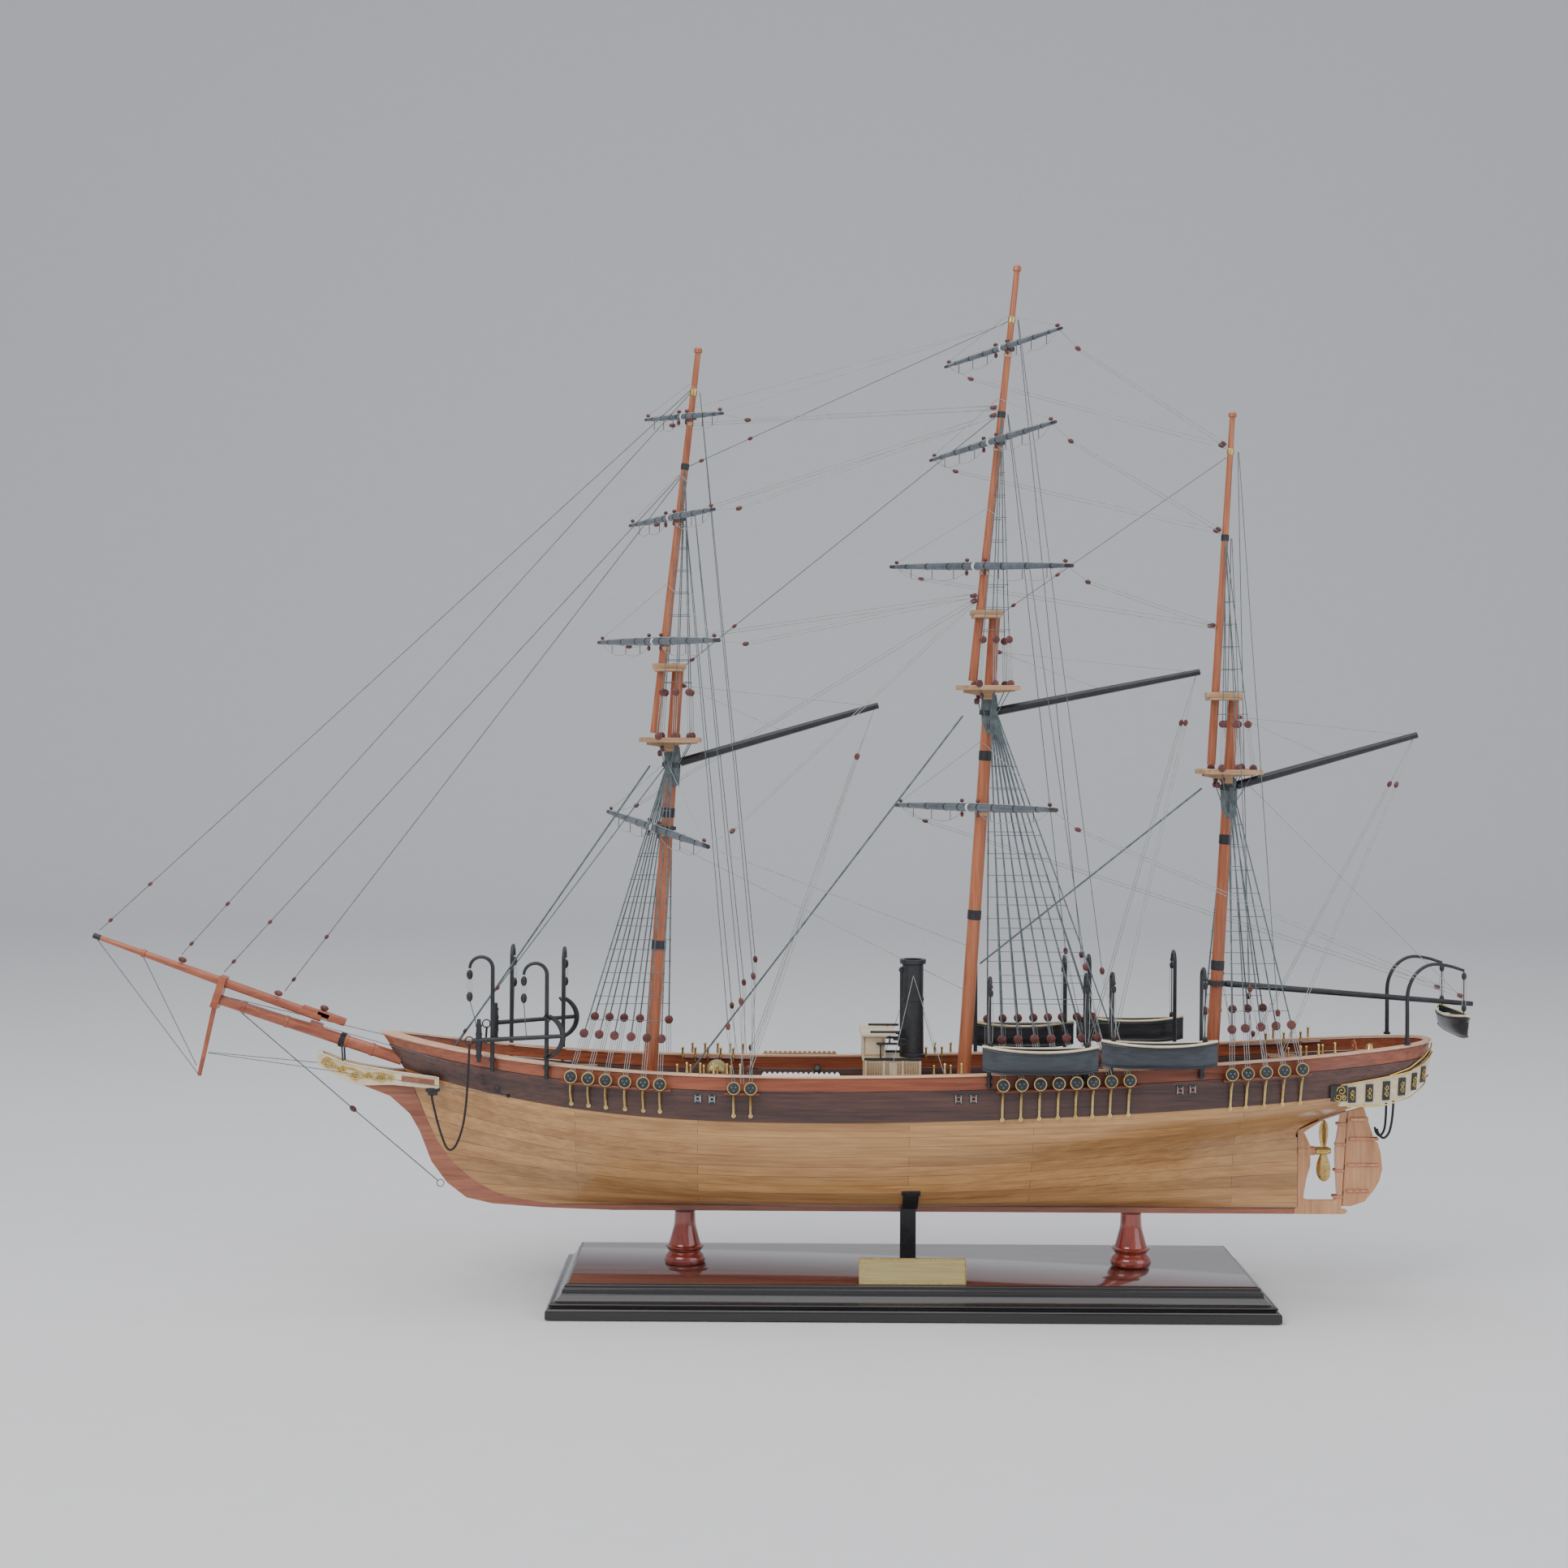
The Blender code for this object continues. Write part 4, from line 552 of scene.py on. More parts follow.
def paper():
    """Pale paper with a faint fibre in it."""
    material = bpy.data.materials.new("pale_paper")
    material.use_nodes = True
    tree = material.node_tree
    place = node(tree, "TexCoord")
    fibre = node(tree, "TexNoise", Scale=40.0, Detail=4.0)
    ramp = node(tree, "ValToRGB")
    ramp.color_ramp.elements[0].color = (0.74, 0.745, 0.76, 1.0)
    ramp.color_ramp.elements[1].color = (0.78, 0.785, 0.80, 1.0)
    tree.links.new(place.outputs["Object"], fibre.inputs["Vector"])
    tree.links.new(fibre.outputs["Fac"], ramp.inputs["Fac"])
    shader = tree.nodes["Principled BSDF"]
    shader.inputs["Roughness"].default_value = 0.85
    tree.links.new(ramp.outputs["Color"], shader.inputs["Base Color"])
    return material


# Route of an anchor cable on the port side: out of the hawse hole, down the bow and up to the anchor's ring
CABLE_ROUTE = (
    (289.0, 15.6, 127.0), (288.4, 19.4, 124.6), (287.0, 20.6, 119.0), (284.6, 21.2, 110.0), (281.6, 21.8, 101.0),
    (278.6, 23.2, 95.0), (275.0, 26.0, 94.8), (271.4, 28.8, 100.0), (268.0, 31.6, 110.0), (266.0, 33.6, 122.0),
    (264.8, 35.2, 136.0), (264.0, 36.2, 150.0), (263.6, 36.5, 160.0),
)
# Anchors: name, side, and how far further out the starboard one hangs
ANCHORS = (("port", 1, 0.0), ("starboard", -1, 9.5))


def make_anchor_cables(settings):
    """Each cable is a curve through its route, stepped evenly, thick as the settings say."""
    for word, side, outward in ANCHORS:
        share = np.linspace(0.0, 1.0, len(CABLE_ROUTE))
        route = np.array(CABLE_ROUTE)
        route[:, 1] = side * (route[:, 1] + outward * share ** 2)
        fine = smooth(route, 400)
        run = np.concatenate([[0.0], np.cumsum(np.linalg.norm(np.diff(fine, axis=0), axis=1))])
        even = np.linspace(0.0, run[-1], 60)
        points = np.stack([np.interp(even, run, fine[:, i]) for i in range(3)], axis=-1)
        points = (points - ORIGIN) * MM
        curve = bpy.data.curves.new("cable_" + word, "CURVE")
        curve.dimensions = "3D"
        curve.bevel_depth = settings.cable * MM / 2
        curve.bevel_resolution = 3
        curve.use_fill_caps = True
        spline = curve.splines.new("POLY")
        spline.points.add(len(points) - 1)
        spline.points.foreach_set("co", np.column_stack([points, np.ones(len(points))]).ravel())
        curve.materials.append(finish("cable"))
        item = bpy.data.objects.new("cable_" + word, curve)
        bpy.context.scene.collection.objects.link(item)
        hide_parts("anchor_cable_" + word)
        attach(item, "ship")


# Moulding of the plinth from the foot up, and of a pedestal from the plinth up
PLINTH_MOULDING = ((0, 0), (0, 4.6), (1, 6.2), (3, 7), (1.9, 8.4), (2.6, 9.2), (5.2, 9.9), (7.6, 12.1), (9, 13.8),
                   (9.4, 16), (10.4, 16.8), (10.8, 18.3), (12, 19.1))
PEDESTAL_PROFILE = ((0.3, 11.8), (1.1, 12.4), (3.1, 12.6), (5.2, 12.0), (6.7, 10.6), (7.7, 9.8), (8.9, 10.6),
                    (10.2, 11.4), (10.9, 12.3), (11.6, 11.2), (12.1, 10.1), (15.8, 8.9), (22, 7.2), (26.2, 6.6),
                    (32.1, 6.35))


def make_stand(settings):
    """The plinth's moulding carried round its four mitred corners, its veneered top, pedestals and plate."""
    length, width = settings.plinth_length / 2, settings.plinth_width / 2
    moulding = np.clip(smooth(PLINTH_MOULDING, 85), 0.0, 19.1)
    moulding[0] = (0.8, 0.0)
    corners = np.array([(1, 1), (-1, 1), (-1, -1), (1, -1)], float)
    reach = np.stack([length - moulding[:, 0], width - moulding[:, 0]], axis=-1)
    ring = corners * reach[:, None]
    grid = np.concatenate([ring, np.broadcast_to(moulding[:, 1, None, None], ring.shape[:2] + (1,))], axis=2)
    grid = np.concatenate([grid, [grid[-1] * (0.995, 0.985, 1) - (0, 0, 0.4)]])
    plinth = Piece("plinth_moulding").add(grid + ORIGIN, "moulding")
    plinth.make("black_moulding", replaces=["plinth"], sharp=24)
    top = Piece("plinth_top")
    inner = np.array((2 * length - 25.2, 2 * width - 25.2, 1.2))
    top.add(slab(ORIGIN + vec(0, 0, 18.7), inner, edge=0.15), "rosewood").make("black_moulding")
    for name, side in (("fore", 1), ("aft", -1)):
        foot = (ORIGIN[0] + side * 137.2, 0.0, STAND_TOP)
        profile = smooth(PEDESTAL_PROFILE, 90)
        pedestal = Piece("pedestal_" + name + "_turned").add(turned(profile, foot, Z, 72), "mahogany")
        pedestal.make("mahogany_gloss", replaces=["pedestal_" + name], sharp=50)
    lean = math.radians(8.0)
    middle = vec(ORIGIN[0], 53.7, STAND_TOP + 0.3 + 7.55)
    plate = Piece("plate_border")
    bars = slab([(0, 0, 7.1), (0, 0, -7.1), (31.3, 0, 0), (-31.3, 0, 0)],
                [(63.3, 0.9, 0.9), (63.3, 0.9, 0.9), (0.9, 0.9, 13.6), (0.9, 0.9, 13.6)], edge=0.2)
    y, z = bars[..., 1].copy(), bars[..., 2].copy()
    bars[..., 1] = y * math.cos(lean) - z * math.sin(lean)
    bars[..., 2] = y * math.sin(lean) + z * math.cos(lean)
    pins = turned(((0, 0.9), (0.4, 0.8), (0.6, 0.3)), [middle + (s * 29.4, 0.2, 0) for s in SIDES], (0, 1, 0.14), 12)
    plate.add(bars + middle, "brass").add(pins, "brass").make("bare_brass")
    dress("plate", "blank_plate")
    dress("black", "keel_strap")


def girth(lines, stations, rows):
    """A skin through the stacked lines: evenly stepped rows, smoothed from line to line."""
    stack = np.stack([line.along(stations) for line in lines])
    return smooth(stack, rows)


def make_planking(settings):
    """The planked bottom, both sides in one skin, each plank a strip of equal share of the girth."""
    core = RAIL_TOP.shifted(-BULWARK - 0.2, -15.7, -20.0, 1.0).shifted(-0.35)
    lines = [bottom_line(row) for row in BOTTOM_LEVELS]
    port = girth(lines, 150, 71)
    port = np.concatenate([port, core.along(150)[None]])
    port[:, :, 1] = np.maximum(port[:, :, 1], 0.4)
    grid = np.concatenate([port, port[::-1] * (1, -1, 1)]).transpose(1, 0, 2)
    strakes = 13.0 * np.linspace(0.0, 1.0, 71)
    strakes = np.concatenate([strakes, [13.6]])
    strakes = np.concatenate([strakes, strakes[::-1] + 20.0])
    along = grid[..., 0] / settings.plank_width
    uv = np.stack([along, np.broadcast_to(strakes, along.shape)], axis=-1)
    Piece("bottom_planks").add(grid, "honey", uv=uv).make("honey_planking", replaces=["hull_planking"])


def round_the_hull(lines, stations=150):
    """Rings of the lines' points, from the bow down the port side to the stern and back up the starboard side."""
    stack = np.stack([line.along(stations) for line in lines], axis=1)
    grid = np.concatenate([stack[::-1], stack * (1, -1, 1)])
    return grid


def between(low, high, share):
    """A line part of the way from one line to another."""
    blend = lambda a, b: tuple(mix(np.array(a), np.array(b), share))
    return SheerLine(mix(low.height, high.height, share), mix(low.half, high.half, share), blend(low.bow, high.bow),
                     blend(low.stern, high.stern), 2.2, 0.4, blend(low.entrance, high.entrance),
                     blend(low.run, high.run))


def make_topsides(settings):
    """Wale, upper strake and rail: bands round the hull, their seams along the sheer."""
    width = settings.plank_width
    floor = RAIL_TOP.shifted(-BULWARK - 0.2, -15.7, -20.0, 1.0)

    def band(name, lines, planks, colour, slot, node_name, sections=None):
        grid = round_the_hull(lines)
        along = np.abs(grid[..., 0] - 400.0) / width
        uv = np.stack([along, np.broadcast_to(np.array(planks, float), along.shape)], axis=-1)
        piece = Piece(name).add(grid, colour, looped=True, uv=uv)
        piece.make(slot, replaces=[node_name] if node_name else ())

    rows = [between(WALE_LOW, WALE_HIGH, i / 6) for i in range(7)]
    swell = [row.shifted(0.35 * math.sin(math.pi * i / 6), 0.0, 0.0) for i, row in enumerate(rows)]
    inner = WALE_HIGH.shifted(-BULWARK, 0.0, -8.0, 1.0)
    band("wale_planks", swell + [inner, floor], [0.02, 0.5, 1, 1.5, 2, 2.5, 2.98, 3.4, 4.5], "wale", "dark_planking",
         "hull_wale")
    low = WALE_HIGH.shifted(-0.3, 0.3)
    rows = [between(low, STRAKE_HIGH, i / 4) for i in range(5)]
    inner = [line.shifted(-BULWARK, 0.0, -8.0, 1.0) for line in (STRAKE_HIGH, low)]
    band("upper_strake", rows + inner, [0.02, 0.25, 0.5, 0.75, 0.98, 1.4, 2.4], "strake", "red_planking",
         "hull_upper_strake")
    ring = [STRAKE_HIGH.shifted(0.7, 0.3), STRAKE_HIGH.shifted(1.0, 0.6), RAIL_TOP.shifted(1.0, -0.4),
            RAIL_TOP.shifted(0.6, 0.0), RAIL_TOP.shifted(-3.0, 0.0, -9.1, 1.0), RAIL_TOP.shifted(-3.4, -0.4, -9.5, 1.0),
            STRAKE_HIGH.shifted(-3.4, 0.3, -9.5, 1.0)]
    band("rail", ring, range(7), "rail", "cream_paint", "rail_cap")


def make_backbone(settings):
    """Keel, stem, stern frame, deck and head, in their own woods; the rudder's straps stand out in copper."""
    dress("keel", "keel_and_stem")
    dress("rudder", "stern_frame", "rudder")
    dress("deck", "deck")
    dress("cream", "head_boards", "stern_gallery", "bridge_house")
    dress("black", "funnel")
    dress("brass", "screw")
    dress("shroud", "fore_stay", "main_stay", "mizzen_stay")
    dress("mast", *[mast + part for mast in MASTS for part in ("_lower_mast", "_topmast")])
    dress("bowsprit", "bowsprit", "jib_boom")
    dress("tan", *[mast + "_top" for mast in MASTS])
    dress("black", *GAFFS)
    dress("slate", *[name + "_yard" for name in YARDS])
    dress("black", *[mast + "_channel_" + side for mast in MASTS for side in ("port", "starboard")])
    dress("boat", *[n + "_boat_" + side for n in ("waist", "quarter") for side in ("port", "starboard")], "stern_boat")
    dress("black", "anchor_port", "anchor_starboard")


def line(piece, points, thickness, colour="thread", sides=5):
    """Threads through points, given as one path or several."""
    return piece.add(tube(points, thickness / 2, sides), colour)


def blocks(piece, centres, axes, size=3.4, colour="block"):
    """Rigging blocks: turned ovals, thick in the middle, their length along the line that they serve."""
    centres = np.atleast_2d(np.asarray(centres, float))
    profile = [(-size / 2 * math.cos(a), size * 0.33 * math.sin(a) + 0.05) for a in np.linspace(0.0, math.pi, 7)]
    return piece.add(turned(profile, centres, axes, 8), colour)


def deadeyes(piece, centres, axes, radius=2.7, thick=2.2, colour="block"):
    """Round wooden eyes, set square to their axes, with a grooved rim and three dark holes in the face."""
    profile = ((-thick / 2, radius - 0.6), (-thick / 2 + 0.35, radius), (-0.25, radius), (0, radius - 0.3),
               (0.25, radius), (thick / 2 - 0.35, radius), (thick / 2, radius - 0.6))
    piece.add(turned(profile, centres, axes, 14), colour)
    return piece


def hoop(centre, axis, inner, outer, height, sides=20):
    """A flat band round an axis: at each angle a four-cornered section from inner to outer."""
    axis = unit(np.asarray(axis, float))
    side = unit(np.cross(axis, vec(0, 1, 0) if abs(axis[1]) < 0.9 else Z))
    lift = np.cross(axis, side)
    turn = np.arange(sides) * 2 * np.pi / sides
    out = np.cos(turn)[:, None] * side + np.sin(turn)[:, None] * lift
    section = np.array([(inner, -0.5), (outer, -0.5), (outer, 0.5), (inner, 0.5)])
    return centre + section[:, 0, None] * out[:, None] + section[:, 1, None] * height * axis


# Heights of the lower band, upper band, topmast ring and hounds of each mast
MAST_MARKS = {
    "fore": (216.8, 298.3, 556.6, 511.0),
    "main": (236.4, 334.3, 602.6, 544.2),
    "mizzen": (206.3, 283.7, 522.1, 469.2),
}
LANYARD = 27.0
RATLINE_STEP = 13.8


def shroud_gang(piece, lower, head, settings, radii, rungs_from=8.0, head_gap=12.0, thick=0.9):
    """Shrouds from deadeye pairs to one head, crossed by ratlines at equal heights."""
    lower = np.asarray(lower, float)
    head = np.broadcast_to(head, lower.shape)
    rise = unit(head - lower)
    upper = lower + LANYARD * settings.lanyard * rise
    line(piece, np.stack([upper, head], axis=1), thick, "shroud")
    side = vec(0, np.sign(lower[0, 1]), 0)
    deadeyes(piece, upper, side, radii)
    for shift in (-0.5, 0.0, 0.5):
        offset = shift * radii * vec(1, 0, 0)
        line(piece, np.stack([lower + offset, upper + offset], axis=1), 0.35, "thread", 4)
    bottom = upper[:, 2].max() + rungs_from
    heights = np.arange(bottom, head[0, 2] - head_gap, RATLINE_STEP)
    share = (heights[:, None] - upper[None, :, 2]) / (head[None, :, 2] - upper[None, :, 2])
    rungs = mix(upper[None], head[None], share[..., None])
    over = unit(rungs[:, -1] - rungs[:, 0])
    rungs = np.concatenate([rungs[:, :1] - over[:, None] * 0.8, rungs, rungs[:, -1:] + over[:, None] * 0.8], axis=1)
    line(piece, rungs, 0.4, "shroud", 4)
    return upper


def make_shrouds(settings):
    """Lower and topmast shrouds with their ratlines, deadeyes and lanyards, and the futtocks under the tops."""
    for mast, (front, back, places) in CHANNELS.items():
        top = MASTS[mast][2]
        low_band, high_band, ring, hounds = MAST_MARKS[mast]
        piece = Piece(mast + "_shrouds")
        for side in SIDES:
            lower = CHANNEL_LINE.at(np.array(places), side, CHANNEL_WIDTH - 0.6, 4.6)
            head = mast_at(mast, "lower", top - 4.0) + vec(0, side * mast_radius(mast, "lower", top), 0)
            shroud_gang(piece, lower, head, settings, 2.7)
            centre = mast_at(mast, "lower", top)[0]
            spots = np.array([(centre + x, side * 18.4, top + 2.6) for x in (8.0, -1.5, -11.0)])
            head = mast_at(mast, "topmast", hounds) + vec(0, side * 2.0, 0)
            deadeyes(piece, spots, (0, side, 0), 2.3)
            shroud_gang(piece, spots, head, settings, 2.3, 6.0, 30.0, 0.6)
            feet = mast_at(mast, "lower", top - 26.0) + vec(0, side * 3.6, 0)
            line(piece, np.stack([spots - (0, 0, 3.4), np.broadcast_to(feet, spots.shape)], axis=1), 0.6, "shroud")
        piece.add(turned(((-24, 4.3), (-14, 5.0), (-6, 5.2), (0, 4.4)), mast_at(mast, "lower", top - 4), Z, 12),
                  "shroud")
        piece.make("stay_thread")


# Backstays: mast, upper height and distance abaft the mast, lower end as (x, z), half breadth, deadeye's x
BACKSTAYS = (
    ("fore", 557.0, 4.0, (93.4, 203.2), 50.0, 94.5), ("fore", 485.0, 3.0, (108.2, 173.5), 51.5, 104.6),
    ("fore", 484.0, 9.0, (100.6, 188.3), 51.0, 99.5), ("main", 602.6, 4.0, (-114.0, 207.4), 49.0, -130.0),
    ("main", 544.2, 4.0, (-104.0, 209.8), 49.0, -119.0), ("mizzen", 522.0, 5.0, (-219.7, 182.4), 44.0, -222.5),
    ("mizzen", 469.0, 4.0, (-202.8, 196.8), 45.0, -211.5),
)
# Stays from a mast: mast, height, lower end as (x, z), thickness
HEAD_STAYS = (
    ("fore", 558.0, (496.3, 223.8), 0.55), ("fore", 556.0, (445.8, 209.1), 0.55), ("fore", 506.0, (419.8, 198.3), 0.6),
    ("fore", 504.0, (382.2, 187.0), 0.6), ("fore", 329.0, (276.5, 156.0), 0.7), ("main", 544.0, (139.5, 386.7), 0.6),
    ("main", 601.6, (135.9, 511.1), 0.5), ("mizzen", 518.7, (-57.5, 421.8), 0.5),
)


def make_stays(settings):
    """Backstays set up to their blocks and deadeyes, and the stays that run forward between the masts."""
    piece = Piece("backstays")
    for mast, z, abaft, (x, low_z), half, foot_x in BACKSTAYS:
        for side in SIDES:
            start = mast_at(mast, "topmast", z) - vec(abaft, -side * 1.5, 0)
            end = vec(x, side * half, low_z)
            foot = CHANNEL_LINE.at(foot_x, side, CHANNEL_WIDTH - 0.6, 4.6)
            if mast == "fore":
                foot = vec(foot_x, side * 53.0, 137.4)
            line(piece, [start, end], 0.5, "shroud")
            blocks(piece, [end], [end - start], 4.6)
            for shift in (-0.9, 0.9):
                line(piece, [end - vec(shift, 0, 1.6), foot + vec(shift, 0, 2)], 0.3, "thread", 4)
    piece.make("stay_thread")
    piece = Piece("fore_and_aft_stays")
    for mast, z, (x, low_z), thick in HEAD_STAYS:
        start = mast_at(mast, part_at(mast, z), z) + vec(2.0, 0, 0)
        end = vec(x, 0, low_z)
        line(piece, [start, end], thick, "shroud")
        along = unit(start - end)
        blocks(piece, [end + 9.0 * along, end + 42.0 * along], along, 3.4)
    # The martingale, its back ropes and the bobstay under the bowsprit
    line(piece, [(499.0, 0, 219.6), (435.5, 0, 136.0)], 0.5, "shroud")
    line(piece, [(470.0, 0, 208.6), (436.4, 0, 141.0)], 0.5, "shroud")
    line(piece, [(412.1, 0, 176.3), (339.8, 0, 114.8), (287.5, 0, 71.0)], 0.7, "shroud")
    blocks(piece, [(339.8, 0, 114.8)], (1, 0, 0.85), 5.0)
    for side in SIDES:
        end = WALE_LOW.at(241.2, side, 0.3, 0.5)
        line(piece, [(429.0, side * 1.5, 148.8), end], 0.45, "shroud")
        end = WALE_LOW.at(262.0, side, 0.3, 12.0)
        line(piece, [(424.0, side * 3.0, 184.0), end], 0.45, "shroud")
    piece.make("stay_thread")


def make_yards(settings):
    """Each yard with its collar, iron bands, blocks, jackstay, stirrups and footropes."""
    for name, (mast, part, height, length, diameter, swing, tilt) in YARDS.items():
        piece = Piece(name + "_spar")
        middle, forward, port, rise = yard_frame(name)
        share = np.linspace(-0.94, 0.94, 41)
        piece.add(tube(on_yard(name, share), yard_radius(name, share), 14), "slate")
        for side in SIDES:
            tip = np.linspace(0.938, 1.0, 4) * side
            piece.add(tube(on_yard(name, tip), yard_radius(name, tip) + 0.12, 14), "black")
        mast_r = mast_radius(mast, part, height)
        foot, head = mast_ends(mast, part)
        centre = mast_at(mast, part, height)
        piece.add(hoop(centre, head - foot, mast_r + 0.8, mast_r + 1.8, 2.2), "black", looped=True)
        piece.add(tube([centre + (mast_r + 1.2) * forward, middle], 0.9, 8), "black")
        piece.add(tube(on_yard(name, np.array((-0.012, 0.012))), diameter * 0.5 + 0.25, 14), "white")
        bands = np.array([s * side for s in (0.12, 0.3, 0.55, 0.8) for side in SIDES])
        for band in bands:
            piece.add(tube(on_yard(name, band + np.array((-0.006, 0.006))), yard_radius(name, band) + 0.2, 12), "black")
        gear = np.array((-0.93, 0.93, -0.1, 0.1))
        spots = on_yard(name, gear) + (yard_radius(name, gear) + 1.6)[:, None] * rise
        blocks(piece, spots, port, 3.6)
        spots = on_yard(name, gear[2:]) - (yard_radius(name, gear[2:]) + 1.8)[:, None] * rise
        blocks(piece, spots, rise, 3.4)
        line(piece, on_yard(name, np.linspace(-0.92, 0.92, 30), 0, 0) + (yard_radius(name, np.linspace(-0.92, 0.92, 30))
             + 0.5)[:, None] * unit(rise + 0.6 * forward), 0.35, "thread", 4)
        for side in SIDES:
            share = np.array((0.25, 0.5, 0.75)) * side
            top = on_yard(name, share) - yard_radius(name, share)[:, None] * rise
            low = top - vec(0, 0, 5.6)
            line(piece, np.stack([top, low], axis=1), 0.4, "black", 4)
            ends = on_yard(name, np.array((0.05, 0.93)) * side)
            posts = np.concatenate([ends[:1], low, ends[1:]])
            hung = np.concatenate([sagging(posts[i], posts[i + 1], 7, 1.2)[0][:-1] for i in range(4)] + [ends[1:]])
            line(piece, hung, 0.4, "thread", 4)
        piece.make("spar_slate", name + "_yard", replaces=[name + "_yard"])


# Braces: yard, where their blocks hang abaft the yardarm, the mast that they lead to and their height on it
BRACES = (
    ("fore_royal", 17.0, "main", 548.6), ("fore_topgallant", 17.0, "main", 544.6),
    ("fore_topsail", 20.0, "main", 433.2), ("fore_course", 20.0, "main", 431.0),
    ("main_royal", 17.0, "mizzen", 525.5), ("main_topgallant", 17.0, "mizzen", 473.0),
    ("main_topsail", 20.0, "mizzen", 414.6), ("main_course", 20.0, "stern", 190.0),
)
# Single lines from yardarms: yard, side, mast and height
YARDARM_LINES = (
    ("fore_royal", 1, "main", 600.0), ("fore_course", 1, "main", 217.8), ("fore_course", -1, "main", 190.5),
    ("fore_royal", -1, "main", 600.0),
)


def moving_lines(name, body, start, end, paths, spots, colour="thread", thick=0.38):
    """Lines between the ship and a spar that moves: they bend along their own length."""
    piece = Piece(name)
    for path in paths:
        path = np.asarray(path, float)
        fine = np.concatenate([mix(a, b, np.linspace(0, 1, 13)[:, None]) for a, b in zip(path, path[1:])])
        fine = fine[np.concatenate([[True], np.linalg.norm(np.diff(fine, axis=0), axis=1) > 1e-6])]
        line(piece, fine, thick, colour, 4)
    for spot, axis in spots:
        blocks(piece, [spot], [axis], 4.2)
    piece.make("stay_thread", (body, start, end))


def make_running_rigging(settings):
    """Braces, lifts, halliards and vangs, each blended between the ship and the spar that it serves."""
    for name, abaft, mast, height in BRACES:
        for side in SIDES:
            word = "port" if side > 0 else "starboard"
            arm = on_yard(name, 0.95 * side)
            end = vec(-336.5, 24.0 * side, height) if mast == "stern" else (
                mast_at(mast, part_at(mast, height), height) + vec(2.5, side * 1.5, 0))
            lead = unit(end - arm)
            block = arm + abaft * unit(lead + vec(0, 0, -0.25))
            pair = [[block + vec(0, 0, s), end + vec(0, 0, s * 1.6)] for s in (-0.8, 0.8)]
            moving_lines(name + "_brace_" + word, name + "_yard", end, arm, [[arm, block]] + pair,
                         [(block, lead), (end - 3.0 * lead, lead)])
    for name, side, mast, height in YARDARM_LINES:
        word = "port" if side > 0 else "starboard"
        arm = on_yard(name, 0.9 * side)
        end = mast_at(mast, part_at(mast, height), height) + vec(4.0, side, 0)
        moving_lines(name + "_sheet_" + word, name + "_yard", end, arm, [[arm, end]], [])
    for name, (mast, part, height, length, diameter, swing, tilt) in YARDS.items():
        top = height + 0.17 * length
        hang = mast_at(mast, part_at(mast, top), top) + vec(3.0, 0, 0)
        for side in SIDES:
            word = "port" if side > 0 else "starboard"
            arm = on_yard(name, 0.93 * side, 2.5)
            moving_lines(name + "_lift_" + word, name + "_yard", hang, arm, [[arm, hang]], [])
    # Gaffs: name, height of the halliard on the mast, vang's blocks below the peak and its foot on the rail
    for name, high, drop, foot_x in (("fore_gaff", 376.2, (11.0, -31.0), 96.0), ("main_gaff", 398.0, (8.0, -31.0), -118.0),
                                     ("mizzen_gaff", 358.9, (13.0, -30.0), -222.0)):
        mast = GAFFS[name][0]
        peak = on_gaff(name, 0.985)
        head = mast_at(mast, "lower", high) - vec(4, 0, 0)
        middle = on_gaff(name, 0.55)
        moving_lines(name + "_halliard", name, head, peak, [[head, peak], [head, middle]], [(head, head - peak)])
        for side in SIDES:
            word = "port" if side > 0 else "starboard"
            block = peak + vec(drop[0], side * 8.0, drop[1])
            foot = RAIL_TOP.at(foot_x, side, -1.0)
            pair = [[block + vec(s, 0, 0), foot + vec(s, 0, 0)] for s in (-0.8, 0.8)]
            moving_lines(name + "_vang_" + word, name, foot, peak, [[peak, block]] + pair,
                         [(block, block - foot), (foot + vec(0, 0, 4), (0, 0, 1))])
    boom_end = on_gaff("spanker_boom", 0.98)
    peak = mast_at("mizzen", "lower", 325.0) - vec(4, 0, 0)
    moving_lines("boom_topping_lift", "spanker_boom", peak, boom_end, [[peak, boom_end]], [])


def make_mast_fittings(settings):
    """Bands on the lower masts, collars under the yards and rings at the hounds."""
    piece = Piece("mast_bands")
    for mast, marks in MAST_MARKS.items():
        for z, colour in zip(marks, ("black", "black", "brass", "band")):
            part = part_at(mast, z)
            foot, head = mast_ends(mast, part)
            radius = mast_radius(mast, part, z) + 0.35
            high = 3.0 if part == "lower" else 2.0
            profile = ((-high, radius - 0.3), (-high + 0.3, radius), (high - 0.3, radius), (high, radius - 0.3))
            piece.add(turned(profile, mast_at(mast, part, z), head - foot, 24), colour)
    for name, (mast, part, height, length, diameter, swing, tilt) in YARDS.items():
        foot, head = mast_ends(mast, part)
        radius = mast_radius(mast, part, height) + 0.5
        profile = ((-1.2, radius - 0.3), (-1.0, radius), (1.0, radius), (1.2, radius - 0.3))
        piece.add(turned(profile, mast_at(mast, part, height - 4.0), head - foot, 20), "rail")
    piece.make("black_spar")


def side_point(x, z, side, out=0.0):
    """A point of the topsides at x and z, set outward square to the hull's curve in plan."""
    x, z = np.broadcast_arrays(np.asarray(x, float), np.asarray(z, float))

    def half(at):
        share = (z - WALE_LOW.z(at)) / (WALE_HIGH.z(at) - WALE_LOW.z(at))
        return mix(WALE_LOW.y(at), WALE_HIGH.y(at), share)

    slope = (half(x + 0.5) - half(x - 0.5)) / 1.0
    square = unit(np.stack([-slope, np.ones_like(slope)], axis=-1))
    return np.stack([x + out * square[..., 0], side * (half(x) + out * square[..., 1]), z], axis=-1)


